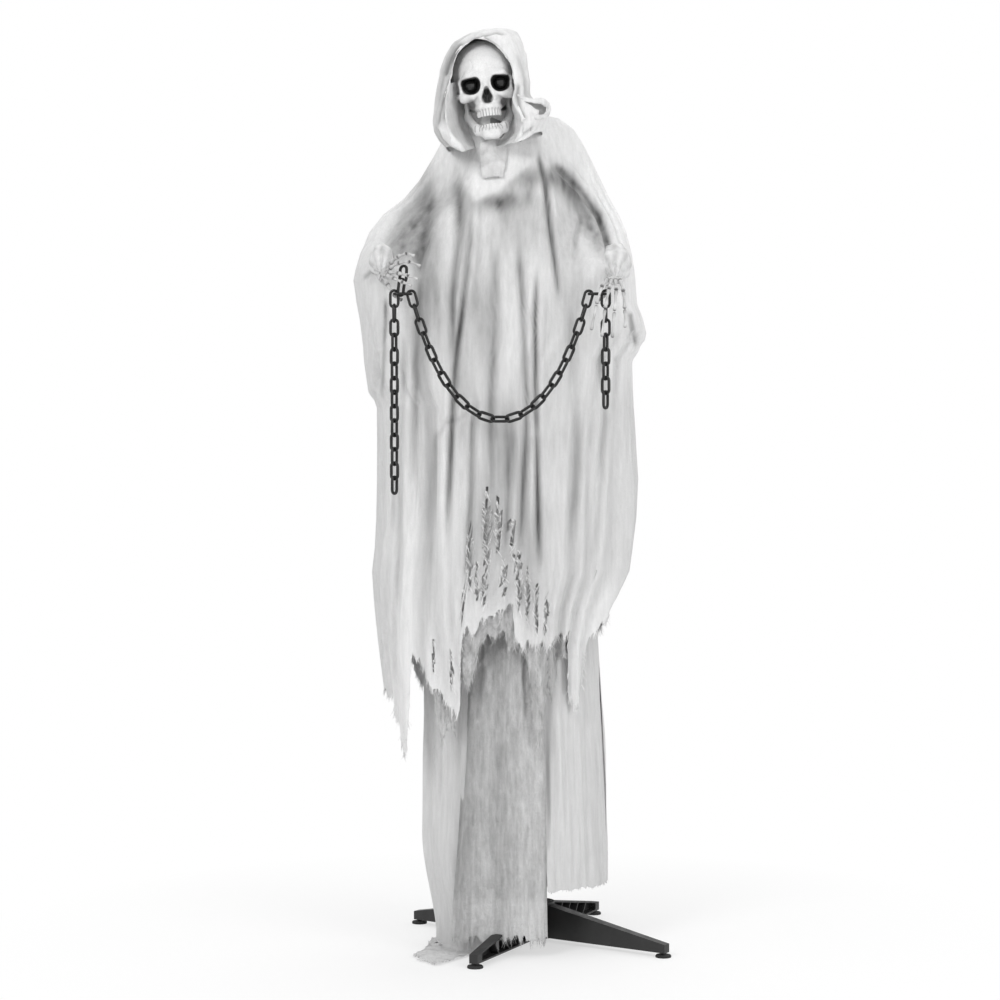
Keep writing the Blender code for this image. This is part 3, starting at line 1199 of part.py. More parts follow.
def build_box():
    inside = BOX_DEPTH - COVER_THICKNESS
    shell = box_part("control_box", (BOX_WIDTH, inside - SEAT_GAP, BOX_HEIGHT), 0, 0, 0, BLACK_PLASTIC)
    clip_low, clip_high = box_place(0, 0, -CLIP_HEIGHT / 2), box_place(0, 0, CLIP_HEIGHT / 2)
    clip = rod("box_clip", (HUB_X, 0, clip_low[2]), (HUB_X, 0, clip_high[2]), COLLAR_RADIUS, None, 16)
    boolean(shell, clip, "UNION")
    room = (BOX_WIDTH - 2 * BOX_WALL, BOX_DEPTH, BOX_HEIGHT - 2 * BOX_WALL)
    boolean(shell, box_part("box_room", room, 0, BOX_CHEEK, 0))
    bore_low, bore_high = box_place(0, 0, -BOX_HEIGHT), box_place(0, 0, BOX_HEIGHT)
    bore = POLE_RADIUS + SEAT_GAP
    boolean(shell, rod("box_bore", (HUB_X, 0, bore_low[2]), (HUB_X, 0, bore_high[2]), bore, None, 16))
    cover = box_part("box_cover", (BOX_WIDTH, COVER_THICKNESS, BOX_HEIGHT), 0, inside, 0, BLACK_PLASTIC)
    rail_size = (DOOR_WIDTH + 2 * RAIL, DOOR_THICKNESS + RAIL, DOOR_HEIGHT + RAIL)
    boolean(cover, box_part("door_rails", rail_size, 0, BOX_DEPTH - FUSE, DOOR_Z), "UNION")
    run = RUN_GAP
    slot_size = (DOOR_WIDTH + 2 * run, DOOR_THICKNESS + 2 * run, DOOR_HEIGHT + DOOR_TRAVEL)
    boolean(cover, box_part("door_slot", slot_size, 0, BOX_DEPTH - FUSE, DOOR_Z - DOOR_TRAVEL / 2 + run))
    window = (DOOR_WIDTH - 2 * RAIL, 2 * BOX_DEPTH, DOOR_HEIGHT - 2 * RAIL)
    boolean(cover, box_part("door_window", window, 0, inside - CUT_OVERRUN, DOOR_Z))
    door = box_part("battery_door", (DOOR_WIDTH, DOOR_THICKNESS, DOOR_HEIGHT), 0, BOX_DEPTH - FUSE + run, DOOR_Z, BLACK_PLASTIC)
    grip = (DOOR_WIDTH / 2, RAIL, RAIL)
    grip_z = DOOR_Z - DOOR_HEIGHT / 2 + RAIL + run + DOOR_TRAVEL + RAIL / 2
    boolean(door, box_part("door_grip", grip, 0, BOX_DEPTH - FUSE + DOOR_THICKNESS, grip_z), "UNION")
    for i in range(BATTERIES):
        x = (i - (BATTERIES - 1) / 2) * (2 * BATTERY_RADIUS + SEAM_GAP)
        y = BOX_CHEEK + SEAT_GAP + BATTERY_RADIUS
        low, high = box_place(x, y, DOOR_Z - BATTERY_LENGTH / 2), box_place(x, y, DOOR_Z + BATTERY_LENGTH / 2)
        rod(f"battery_{i + 1}", low, high, BATTERY_RADIUS, GREY_PLASTIC, 16)
    box_part("circuit_board", BOARD_SIZE, 0, BOX_CHEEK + SEAT_GAP, BOARD_Z, GREY_PLASTIC)
    box_pin("speaker", 0, inside - SEAT_GAP - SPEAKER_HEIGHT, SPEAKER_Z, SPEAKER_HEIGHT, SPEAKER_RADIUS, GREY_PLASTIC, 20)
    for i in range(SPEAKER_HOLES):
        x = (i - (SPEAKER_HOLES - 1) / 2) * SPEAKER_RADIUS / 2
        slot = (RAIL, 2 * BOX_DEPTH, SPEAKER_RADIUS)
        boolean(cover, box_part(f"speaker_slot_{i}", slot, x, inside - CUT_OVERRUN, SPEAKER_Z))
    for name, x, radius in (("test_button", BUTTON_X, BUTTON_RADIUS), ("power_switch", -BUTTON_X, SWITCH_WIDTH / 2)):
        travel = SWITCH_TRAVEL if name == "power_switch" else 0
        hole = (2 * radius + 2 * run, 2 * BOX_DEPTH, 2 * radius + 2 * run + 2 * travel)
        boolean(cover, box_part(name + "_hole", hole, x, inside - CUT_OVERRUN, SPEAKER_Z))
        start = inside - SEAT_GAP - BUTTON_FLANGE
        made = box_pin(name, x, start, SPEAKER_Z - travel, BUTTON_LENGTH, radius, GREY_PLASTIC, 12)
        boolean(made, box_pin(name + "_flange", x, start - FUSE, SPEAKER_Z - travel, BUTTON_FLANGE + FUSE, radius * 2, None, 12), "UNION")


build_base()
build_pole()
build_shoulders()
build_arms()
build_chain()
build_head()
build_cloth()
build_box()
ORIGIN = bpy.data.objects.new("figure_origin", None)
PARTS.objects.link(ORIGIN)
ORIGIN.location.x = FIGURE_X
for thing in list(PARTS.objects) + list(CUTTERS.objects):
    if thing is not ORIGIN:
        thing.parent = ORIGIN
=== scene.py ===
"""Looks of the ghost figure: draped gauze, skull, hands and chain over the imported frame."""
import math

import bmesh
import bpy
import numpy as np
from mathutils import Matrix, Vector


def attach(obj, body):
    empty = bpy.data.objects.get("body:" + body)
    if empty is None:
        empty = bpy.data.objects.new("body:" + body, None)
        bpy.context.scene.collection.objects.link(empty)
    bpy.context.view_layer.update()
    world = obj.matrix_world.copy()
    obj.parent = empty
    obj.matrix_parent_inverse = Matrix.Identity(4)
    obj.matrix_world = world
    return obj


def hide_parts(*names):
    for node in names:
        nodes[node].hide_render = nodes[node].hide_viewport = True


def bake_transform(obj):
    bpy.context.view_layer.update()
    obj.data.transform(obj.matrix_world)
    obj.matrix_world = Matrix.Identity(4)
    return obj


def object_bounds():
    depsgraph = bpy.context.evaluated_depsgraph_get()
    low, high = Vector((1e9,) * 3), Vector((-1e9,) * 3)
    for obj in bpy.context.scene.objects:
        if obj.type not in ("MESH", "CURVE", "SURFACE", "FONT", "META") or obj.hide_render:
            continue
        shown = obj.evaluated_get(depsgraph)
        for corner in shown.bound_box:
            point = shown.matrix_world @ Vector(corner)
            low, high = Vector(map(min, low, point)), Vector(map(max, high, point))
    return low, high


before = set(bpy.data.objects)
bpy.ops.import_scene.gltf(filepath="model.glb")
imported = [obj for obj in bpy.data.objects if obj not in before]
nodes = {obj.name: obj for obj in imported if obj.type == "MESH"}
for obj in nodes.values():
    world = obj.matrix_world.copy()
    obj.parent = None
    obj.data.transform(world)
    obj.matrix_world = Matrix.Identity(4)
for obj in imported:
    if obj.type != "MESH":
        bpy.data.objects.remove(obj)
cad_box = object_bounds()

# The figure's own axes start this far from the row's middle; the photograph was taken along its depth.
FIGURE_X = -0.0256
LENS_PIXELS = 2600.0
CAMERA_Y = -5.2
CAMERA_Z = 1.05
HORIZON = 417.5
MIDDLE = 500.0
CAMERA_TILT = math.radians(88.18)
SENSOR = 36.0


# Numbers and meshes

def spot(px, py, y):
    """The point at depth y that shows at a pixel of the photograph, in the figure's axes."""
    reach = (y - CAMERA_Y) / LENS_PIXELS
    return np.array([(px - MIDDLE) * reach, y, CAMERA_Z + (HORIZON - py) * reach])


def pixels(points):
    """Where points of the figure's axes show in the photograph."""
    reach = (points[..., 1] - CAMERA_Y) / LENS_PIXELS
    return MIDDLE + points[..., 0] / reach, HORIZON - (points[..., 2] - CAMERA_Z) / reach


def smooth(low, high, x):
    """0 at low, 1 at high and an easy slope between."""
    t = np.clip((x - low) / (high - low), 0, 1)
    return t * t * (3 - 2 * t)


def hill(x, width):
    """1 where x is 0, and away to 0 on both sides."""
    return np.exp(-(x / width) ** 2)


def xyz(*values):
    """Points from one to three arrays, with 0 for those left out."""
    return np.stack([*values, *[values[0] * 0] * (3 - len(values))], -1)


def lattice(cell, seed):
    """A repeatable number from 0 to 1 for each whole-number cell."""
    n = (cell[..., 0] * 73856093) ^ (cell[..., 1] * 19349663) ^ (cell[..., 2] * 83492791) ^ (seed * 2654435)
    n = (n ^ (n >> 13)) * 1274126177
    return ((n ^ (n >> 16)) & 0xFFFF) / 65535.0


def noise(points, seed=0):
    """Smooth noise from -1 to 1."""
    base = np.floor(points).astype(np.int64)
    part = points - base
    part = part * part * (3 - 2 * part)
    total = 0
    for corner in range(8):
        bits = np.array([corner & 1, (corner >> 1) & 1, (corner >> 2) & 1])
        share = np.prod(np.where(bits, part, 1 - part), axis=-1)
        total = total + share * lattice(base + bits, seed)
    return total * 2 - 1


def rough(points, seed=0, octaves=3):
    """Noise with finer noise on it, each layer half as strong."""
    total, size = 0, 1.0
    for i in range(octaves):
        total = total + noise(points * 2 ** i, seed + i) * size
        size /= 2
    return total


def add(name, data):
    """An object that is linked to the scene."""
    thing = bpy.data.objects.new(name, data)
    bpy.context.scene.collection.objects.link(thing)
    return thing


def make(name, points, faces, finish, shade=None):
    """A smooth mesh object from points in the figure's axes, with a painted shade where one is given."""
    points = np.asarray(points, float).reshape(-1, 3) + (FIGURE_X, 0, 0)
    mesh = bpy.data.meshes.new(name)
    mesh.from_pydata(points.tolist(), [], [tuple(int(i) for i in f) for f in faces])
    mesh.validate()
    mesh.update()
    mesh.polygons.foreach_set("use_smooth", np.ones(len(mesh.polygons), bool))
    if shade is not None:
        colour = mesh.color_attributes.new("shade", "FLOAT_COLOR", "POINT")
        rgba = np.ones((len(points), 4), np.float32)
        rgba[:, :3] = np.asarray(shade, np.float32).reshape(-1, 1)
        colour.data.foreach_set("color", rgba.ravel())
    thing = add(name, mesh)
    mesh.materials.append(finish)
    return thing


def grid_faces(rows, columns, wrap=False):
    """Quads over rows x columns points."""
    index = np.arange(rows * columns).reshape(rows, columns)
    if wrap:
        index = np.concatenate([index, index[:, :1]], axis=1)
    corners = [index[:-1, :-1], index[1:, :-1], index[1:, 1:], index[:-1, 1:]]
    return np.stack(corners, axis=-1).reshape(-1, 4)


# Materials

def shader(name, colour, roughness):
    """A new material, its node tree, its surface and the place on the object."""
    made = bpy.data.materials.new(name)
    made.use_nodes = True
    tree = made.node_tree
    surface = tree.nodes["Principled BSDF"]
    surface.inputs["Base Color"].default_value = (*colour, 1)
    surface.inputs["Roughness"].default_value = roughness
    place = tree.nodes.new("ShaderNodeTexCoord").outputs["Object"]
    return made, tree, surface, place


def noise_node(tree, place, scale, detail, stretch=(1, 1, 1)):
    """Noise over an object, stretched along its axes."""
    mapping = tree.nodes.new("ShaderNodeMapping")
    mapping.inputs["Scale"].default_value = stretch
    tree.links.new(place, mapping.inputs["Vector"])
    texture = tree.nodes.new("ShaderNodeTexNoise")
    texture.inputs["Scale"].default_value = scale
    texture.inputs["Detail"].default_value = detail
    tree.links.new(mapping.outputs["Vector"], texture.inputs["Vector"])
    return texture.outputs["Fac"]


def painted(tree):
    """The shade that is painted on a mesh."""
    node = tree.nodes.new("ShaderNodeAttribute")
    node.attribute_name = "shade"
    return node.outputs["Fac"]


def remap(tree, value, low, high, to_low, to_high):
    """A value carried from one range to another."""
    node = tree.nodes.new("ShaderNodeMapRange")
    for name, number in (("From Min", low), ("From Max", high), ("To Min", to_low), ("To Max", to_high)):
        node.inputs[name].default_value = number
    tree.links.new(value, node.inputs["Value"])
    return node.outputs["Result"]


def maths(tree, operation, a, b):
    """The result of an operation on two values or numbers."""
    node = tree.nodes.new("ShaderNodeMath")
    node.operation = operation
    for i, value in enumerate((a, b)):
        if isinstance(value, (int, float)):
            node.inputs[i].default_value = value
        else:
            tree.links.new(value, node.inputs[i])
    return node.outputs["Value"]


def bump(tree, surface, height, strength, distance):
    """Gives a surface relief."""
    node = tree.nodes.new("ShaderNodeBump")
    node.inputs["Strength"].default_value = strength
    node.inputs["Distance"].default_value = distance
    tree.links.new(height, node.inputs["Height"])
    tree.links.new(node.outputs["Normal"], surface.inputs["Normal"])


def grey(tree, value, surface):
    """Drives the base colour with one grey value."""
    node = tree.nodes.new("ShaderNodeCombineColor")
    for name in ("Red", "Green", "Blue"):
        tree.links.new(value, node.inputs[name])
    tree.links.new(node.outputs["Color"], surface.inputs["Base Color"])


def weave(tree, place, threads):
    """Crossed threads of an open weave, from 0 in the gaps to 1 on the crossings."""
    made = []
    for axis in ("X", "Z"):
        wave = tree.nodes.new("ShaderNodeTexWave")
        wave.bands_direction = axis
        wave.inputs["Scale"].default_value = threads
        wave.inputs["Distortion"].default_value = 2.0
        wave.inputs["Detail"].default_value = 2.0
        wave.inputs["Detail Scale"].default_value = 3.0
        tree.links.new(place, wave.inputs["Vector"])
        made.append(wave.outputs["Fac"])
    return maths(tree, "MULTIPLY", made[0], made[1])


def gauze(name, low, high, crinkle, fleck):
    """Open cotton gauze: painted shade times slubs, streaks and flecks, with crossed threads in relief."""
    made, tree, surface, place = shader(name, (high,) * 3, 0.95)
    base = remap(tree, painted(tree), 0, 1, low, high)
    streak = remap(tree, noise_node(tree, place, 160, 4, (1, 1, 0.12)), 0.3, 0.7, 1 - fleck, 1.0)
    speck = remap(tree, noise_node(tree, place, 900, 2), 0.35, 0.6, 1 - fleck, 1.0)
    grey(tree, maths(tree, "MULTIPLY", base, maths(tree, "MULTIPLY", streak, speck)), surface)
    threads = maths(tree, "MULTIPLY", weave(tree, place, 130), 0.35)
    folds = noise_node(tree, place, 70, 5, (1, 1, 0.3))
    bump(tree, surface, maths(tree, "ADD", threads, folds), crinkle, 0.006)
    surface.inputs["Sheen Weight"].default_value = 0.15
    surface.inputs["Sheen Roughness"].default_value = 0.6
    return made


def bone():
    """Moulded off-white plastic with blotches of grey wash, times the shade painted on each mesh, which is
    darker in its hollows.
    """
    made, tree, surface, place = shader("bone", (0.66, 0.65, 0.63), 0.55)
    dimming = remap(tree, noise_node(tree, place, 55, 5), 0.3, 0.65, 0.86, 1.0)
    pores = remap(tree, noise_node(tree, place, 420, 3), 0.35, 0.6, 0.92, 1.0)
    value = maths(tree, "MULTIPLY", maths(tree, "MULTIPLY", dimming, pores), painted(tree))
    grey(tree, value, surface)
    bump(tree, surface, noise_node(tree, place, 260, 4), 0.25, 0.0015)
    return made


def moulded(name, level, roughness, grain, relief):
    """Grained moulded plastic or coated metal, a little paler and rougher where it is handled."""
    made, tree, surface, place = shader(name, (level,) * 3, roughness)
    tone = remap(tree, noise_node(tree, place, 18, 4), 0.3, 0.7, 1 - WEAR, 1 + WEAR)
    grey(tree, maths(tree, "MULTIPLY", tone, level), surface)
    rub = remap(tree, noise_node(tree, place, 40, 4), 0.3, 0.7, roughness - 0.08, roughness + 0.12)
    tree.links.new(rub, surface.inputs["Roughness"])
    bump(tree, surface, noise_node(tree, place, grain, 2), relief, 0.0008)
    return made


WEAR = 0.25
GAUZE = gauze("gauze", 0.04, 0.90, 0.50, 0.11)
SKIRT_GAUZE = gauze("skirt_gauze", 0.08, 0.80, 0.30, 0.10)
GREY_GAUZE = gauze("grey_gauze", 0.08, 0.84, 0.80, 0.26)
HOOD_GAUZE = gauze("hood_gauze", 0.04, 0.90, 0.55, 0.10)
BONE = bone()
CHAIN = moulded("chain_plastic", 0.007, 0.36, 500, 0.20)
CHAIN.node_tree.nodes["Principled BSDF"].inputs["Specular IOR Level"].default_value = 0.38
BLACK = moulded("black_plastic", 0.016, 0.48, 700, 0.35)
STEEL = moulded("black_steel", 0.022, 0.38, 1200, 0.12)
RUBBER = moulded("rubber", 0.014, 0.80, 600, 0.30)
GREY = moulded("grey_plastic", 0.15, 0.50, 800, 0.20)
FOAM = moulded("foam", 0.32, 0.90, 350, 0.60)
EYE = moulded("eye_lens", 0.010, 0.08, 200, 0.02)
# The nodes that stay as they are, by finish.
for finish, names in (
    (BLACK, "base_beam_fixed base_beam_folding hub_collar coupler_lower coupler_upper"),
    (BLACK, "shoulder_tee shoulder_bar left_upper_arm right_upper_arm waist_hoop"),
    (BLACK, "control_box box_cover battery_door"),
    (RUBBER, "foot_front_right foot_back_left foot_front_left foot_back_right"),
    (STEEL, "pole_lower pole_middle spine_tube left_forearm right_forearm neck_shaft"),
    (GREY, "battery_1 battery_2 battery_3 circuit_board speaker test_button power_switch"),
    (GREY, "neck_gearbox jaw_motor eye_plate"),
    (FOAM, "torso_form"),
    (EYE, "eye_left eye_right"),
):
    for name in names.split():
        nodes[name].data.materials.clear()
        nodes[name].data.materials.append(finish)


# Robe: rings from the neck to the hem, in millimetres. Height, left and right reach, front at the middle and
# at the arms, back, side.
RINGS = np.array((
    (1652, -60, 30, -82, -82, 5, -45), (1648, -80, 80, -84, -80, 20, -35),
    (1640, -90, 118, -87, -78, 34, -30), (1620, -104, 146, -93, -76, 48, -26),
    (1590, -118, 165, -101, -73, 60, -22), (1560, -134, 180, -111, -70, 68, -20),
    (1520, -158, 199, -124, -68, 76, -18), (1481, -190, 218, -136, -70, 83, -18),
    (1450, -230, 235, -144, -78, 89, -20), (1417, -257, 249, -152, -110, 93, -25),
    (1372, -274, 260, -160, -175, 97, -45), (1340, -282, 264, -166, -205, 99, -55),
    (1318, -286, 266, -170, -212, 100, -60), (1273, -279, 268, -177, -210, 101, -62),
    (1240, -271, 278, -181, -206, 102, -62), (1215, -266, 283, -183, -205, 103, -62),
    (1188, -261, 270, -185, -203, 104, -61), (1160, -257, 252, -187, -200, 105, -60),
    (1105, -247, 252, -184, -190, 106, -59), (1070, -229, 253, -184, -184, 107, -58),
    (1005, -228, 257, -187, -178, 109, -56), (926, -229, 262, -193, -176, 111, -55),
    (847, -231, 258, -200, -176, 113, -55), (748, -237, 245, -204, -180, 114, -55),
    (675, -230, 206, -200, -185, 114, -55), (609, -223, 188, -196, -182, 114, -55),
    (510, -212, 180, -192, -180, 114, -55), (370, -202, 176, -190, -178, 114, -55),
))[::-1] / 1000
# The front hem, as pixels of the photograph from the left edge to the right, and the back hem as heights.
FRONT_HEM = (
    (384, 700), (389, 726), (393, 748), (398, 761), (401, 742), (404, 712), (407, 680), (410, 653),
    (413, 660), (419, 672), (424, 680), (429, 692), (435, 690), (441, 704), (448, 712), (455, 717),
    (458, 700), (460, 668), (463, 634), (468, 628), (473, 634), (478, 627), (481, 614), (486, 618),
    (494, 612), (503, 609), (509, 602), (513, 618), (517, 640), (524, 646), (532, 642), (539, 647),
    (546, 640), (553, 650), (560, 640), (567, 637), (574, 630), (577, 652), (580, 690), (585, 706),
    (589, 713), (592, 690), (595, 640), (600, 618), (612, 640),
)
BACK_HEM = (0.60, 0.52, 0.58, 0.50, 0.60, 0.55, 0.64, 0.54, 0.62, 0.56, 0.66, 0.60)
ROBE_COLUMNS = 420
ROBE_ROWS = 300
ROBE_TOP = 1.652
CORNER = 0.77
HEM_LEVEL = 0.65
FRONT_Y = -0.19


def ring_value(column, height):
    """One column of the rings, read at heights."""
    return np.interp(height, RINGS[:, 0], RINGS[:, column])


def ring_point(turn, height):
    """The robe's smooth surface at a turn, from the right side by the front, and a height."""
    across, ahead = np.cos(turn), np.sin(turn)
    left, right = ring_value(1, height), ring_value(2, height)
    middle, arms, back, side = (ring_value(i, height) for i in (3, 4, 5, 6))
    centre, half = (left + right) / 2, (right - left) / 2
    share = np.sign(across) * np.abs(across) ** CORNER
    front = middle + (arms - middle) * smooth(0.35, 0.85, np.abs(share))
    depth = np.abs(ahead) ** CORNER
    y = side + np.where(ahead > 0, front - side, back - side) * depth
    return np.stack([centre + half * share, y, height + 0 * y], axis=-1)


def front_height(py):
    """The height on the robe's front that shows at a pixel row."""
    return CAMERA_Z + (HORIZON - py) * (FRONT_Y - CAMERA_Y) / LENS_PIXELS


def drawn_hem(turn, line):
    """Heights of a hem drawn in pixels, at turns round the robe."""
    base = ring_point(turn, np.full_like(turn, HEM_LEVEL))
    px, _ = pixels(xyz(base[..., 0], np.full_like(turn, FRONT_Y), base[..., 2]))
    return front_height(np.interp(px, *zip(*line)))


def hem_height(turn):
    """The robe's hem: drawn at the front, from its own heights at the back."""
    back = np.interp(turn, np.linspace(math.pi, 2 * math.pi, len(BACK_HEM)), BACK_HEM)
    mix = smooth(-0.15, 0.05, np.sin(turn))
    return drawn_hem(turn, FRONT_HEM) * mix + back * (1 - mix)


def along_line(px, py, line):
    """Distance in pixels from a drawn line, and how far down it the nearest point is."""
    best, share = np.full(px.shape, np.inf), np.zeros(px.shape)
    total = sum(math.dist(a, b) for a, b in zip(line, line[1:]))
    done = 0.0
    for a, b in zip(line, line[1:]):
        length = math.dist(a, b)
        t = np.clip(((px - a[0]) * (b[0] - a[0]) + (py - a[1]) * (b[1] - a[1])) / length ** 2, 0, 1)
        gap = np.hypot(px - a[0] - t * (b[0] - a[0]), py - a[1] - t * (b[1] - a[1]))
        share = np.where(gap < best, (done + t * length) / total, share)
        best = np.minimum(best, gap)
        done += length
    return best, share


def creases(px, py, lines, fades, ridge=(2.6, 0.35), strength=1):
    """How deep drawn creases cut, each with a ridge beside it, and how dark the painted shade in them is."""
    cut, dark = np.zeros(px.shape), np.zeros(px.shape)
    for line, width, depth, tone in lines:
        gap, down = along_line(px, py, line)
        ends = smooth(0, fades[0], down) * smooth(1, fades[1], down) * strength
        cut += depth * ends * (hill(gap, width) - ridge[1] * hill(gap - ridge[0] * width, width))
        dark = 1 - (1 - dark) * (1 - tone * ends * hill(gap, width))
    return cut, dark


# Creases drawn down the robe's front: pixels, half width in pixels, depth in metres, darkening as painted
# shade in the crease.
CREASES = (
    (((536, 150), (545, 182), (549, 220), (557, 282), (560, 312)), 2.4, 0.012, 0.80),
    (((552, 163), (581, 192), (598, 217), (606, 238), (611, 256), (619, 266)), 3.0, 0.013, 0.70),
    (((459, 180), (460, 232), (453, 295), (451, 380)), 4.0, 0.010, 0.55),
    (((473, 192), (470, 245), (463, 305), (455, 370), (452, 430), (450, 480), (446, 560)), 2.8, 0.014, 0.66),
    (((480, 200), (478, 260), (470, 330)), 3.5, 0.006, 0.30),
    (((495, 240), (494, 282), (495, 332), (492, 382), (491, 430), (491, 520)), 3.6, 0.012, 0.50),
    (((537, 262), (535, 320), (536, 395), (537, 477), (540, 590)), 2.6, 0.014, 0.62),
    (((517, 240), (522, 295), (527, 395), (526, 440), (522, 510), (517, 590)), 3.4, 0.010, 0.48),
    (((427, 196), (424, 240), (420, 300), (414, 420), (412, 520)), 4.0, 0.009, 0.30),
    (((405, 330), (402, 420), (400, 520), (398, 620)), 3.5, 0.008, 0.22),
    (((570, 300), (574, 380), (578, 470), (572, 560)), 4.0, 0.008, 0.20),
    (((600, 330), (606, 420), (600, 489), (594, 586)), 3.5, 0.009, 0.26),
    (((436, 420), (432, 520), (428, 600), (424, 660)), 3.5, 0.007, 0.22),
    (((474, 400), (472, 480), (468, 560)), 3.0, 0.009, 0.34),
    (((508, 410), (510, 480), (506, 560)), 2.6, 0.009, 0.42),
    (((386, 296), (385, 335), (383, 380), (381, 408)), 1.8, 0.006, 0.42),
    (((630, 312), (633, 332), (636, 350)), 2.2, 0.007, 0.55),
    (((436, 440), (446, 424), (470, 414)), 2.6, 0.004, 0.16),
    (((382, 262), (372, 272), (362, 281)), 2.2, 0.006, 0.42),
    (((584, 214), (577, 236), (574, 262)), 2.0, 0.005, 0.22),
)
# Grey on the front, partly airbrush and partly painted shade under the arms, below the chin and along the
# folds: middle, half size, lean, darkening.
PATCHES = (
    ((423, 226), (11, 44), 0.10, 0.66), ((410, 222), (18, 26), 0.55, 0.46),
    ((400, 248), (14, 22), 0.35, 0.46), ((434, 272), (13, 60), 0.0, 0.42),
    ((570, 190), (11, 20), -0.60, 0.52), ((586, 214), (12, 22), -0.60, 0.46),
    ((598, 240), (10, 22), -0.40, 0.34), ((556, 178), (16, 12), 0.0, 0.40),
    ((528, 178), (24, 12), 0.35, 0.50), ((500, 202), (30, 11), 0.30, 0.62),
    ((463, 222), (9, 46), 0.0, 0.42), ((454, 196), (8, 24), 0.1, 0.16),
    ((520, 226), (30, 40), 0.0, 0.28), ((562, 240), (22, 46), 0.0, 0.26),
    ((486, 320), (14, 74), 0.0, 0.30), ((462, 330), (12, 80), 0.0, 0.24),
    ((507, 445), (16, 46), 0.0, 0.52), ((470, 440), (12, 50), 0.0, 0.14),
    ((492, 530), (26, 64), 0.0, 0.34), ((530, 560), (16, 60), 0.0, 0.26),
    ((445, 600), (24, 60), 0.0, 0.10), ((576, 300), (18, 46), 0.0, 0.10),
    ((420, 330), (16, 60), 0.0, 0.12), ((488, 540), (9, 46), 0.0, 0.30),
    ((506, 560), (8, 36), 0.0, 0.22), ((470, 560), (6, 30), 0.0, 0.22),
    ((524, 590), (7, 30), 0.0, 0.20),
)
# The pale bib under the chin: its lower edge, and how it fades at its sides, in pixels.
BIB = ((456, 152), (466, 182), (476, 198), (495, 190), (515, 174), (530, 160), (538, 150))
BIB_LEFT, BIB_RIGHT = (454, 460), (542, 536)


def front_share(points):
    """1 on the robe's front, 0 on its back."""
    return smooth(0.02, -0.04, points[..., 1])


def paint(points, fold):
    """Shade painted on the robe: on the front grey airbrush together with painted shade under the arms and in
    the creases, painted shade in the fold valleys, lower down and at the sides, a mottled grey on the back,
    and mottling.
    """
    px, py = pixels(points)
    dark = np.zeros(px.shape)
    for (cx, cy), (rx, ry), lean, depth in PATCHES:
        y = py - cy
        dark = 1 - (1 - dark) * (1 - min(1.30 * depth, 0.9) * hill(px - cx + lean * y, rx) * hill(y, ry))
    gap, _ = along_line(px, py, BIB)
    above = np.interp(px, *zip(*BIB)) > py
    inside = smooth(*BIB_LEFT, px) * smooth(*BIB_RIGHT, px) * np.where(above, 1, hill(gap, 4))
    # The airbrush and painted shade, cleared on the bib, joined with the painted shade of the creases.
    dark = 1 - (1 - dark * (1 - 0.75 * inside)) * (1 - creases(px, py, CREASES, (0.10, 0.75))[1])
    dark = dark * front_share(points)
    mottle = rough(points * (26, 26, 9), 5) * 0.10 + rough(points * (90, 90, 14), 9) * 0.08
    back = 0.22 * smooth(0.02, 0.08, points[..., 1]) * (0.5 + 0.5 * noise(points * (9, 9, 3), 12))
    # Painted shade: darker below the chest, on the outer side of the left sleeve and low on the right side.
    low = 0.10 * smooth(1.42, 1.22, points[..., 2]) * (1 - 0.5 * smooth(0.8, 0.6, points[..., 2]))
    low = low + 0.14 * smooth(-0.18, -0.24, points[..., 0]) * smooth(1.45, 1.30, points[..., 2])
    low = low + 0.15 * smooth(0.19, 0.24, points[..., 0]) * smooth(1.20, 1.05, points[..., 2])
    shade = (1 - dark * (0.95 + mottle * 2) - back - np.clip(mottle, 0, 1) * 0.5) * (1 - low)
    # Painted shade in the fold valleys.
    return np.clip(shade - np.clip(-fold, 0, 1) * 0.24, 0.05, 1)


def fold_wave(turn, height):
    """Hanging folds from -1 to 1, sharper in the valleys, that wander a little as they fall."""
    place = turn + 0.22 * noise(xyz(turn * 1.1, height * 2.2), 31)
    wave = 0
    for size, tight, fall, seed in ((0.9, 3.6, 1.1, 3), (0.75, 8.5, 1.6, 8), (0.28, 20.0, 3.0, 14)):
        wave = wave + size * noise(xyz(np.cos(place) * tight, np.sin(place) * tight, height * fall), seed)
    return np.sign(wave) * np.abs(wave) ** 0.9


def hang(turn, height, inset=0.0):
    """The draped robe at turns and heights, or a layer that far inside it, and how deep its folds are."""
    base = ring_point(turn, height)
    step = 1e-3
    tangent = ring_point(turn + step, height) - ring_point(turn - step, height)
    out = xyz(-tangent[..., 1], tangent[..., 0])
    out /= np.linalg.norm(out, axis=-1, keepdims=True) + 1e-12
    out *= np.where(np.sum(out[..., :2] * (base[..., :2] - (0.01, -0.04)), axis=-1) < 0, -1, 1)[..., None]
    wave = fold_wave(turn, height)
    size = np.interp(height, (0.4, 0.9, 1.25, 1.42, 1.55, 1.62), (0.020, 0.017, 0.012, 0.008, 0.004, 0.000))
    arms = smooth(0.20, 0.26, np.abs(base[..., 0])) * smooth(1.15, 1.30, height)
    size = size * (1 - 0.65 * arms) * (1 + 0.8 * smooth(0.0, 0.06, base[..., 1]) * smooth(1.50, 1.25, height))
    cut, _ = creases(*pixels(base), CREASES, (0.15, 0.8))
    points = base + out * (wave * size + size * 0.1 - cut * front_share(base) - inset)[..., None]
    points[..., 2] += 0.004 * rough(points * (14, 14, 14), 40) * smooth(1.6, 1.3, height)
    return points, wave * size / 0.02


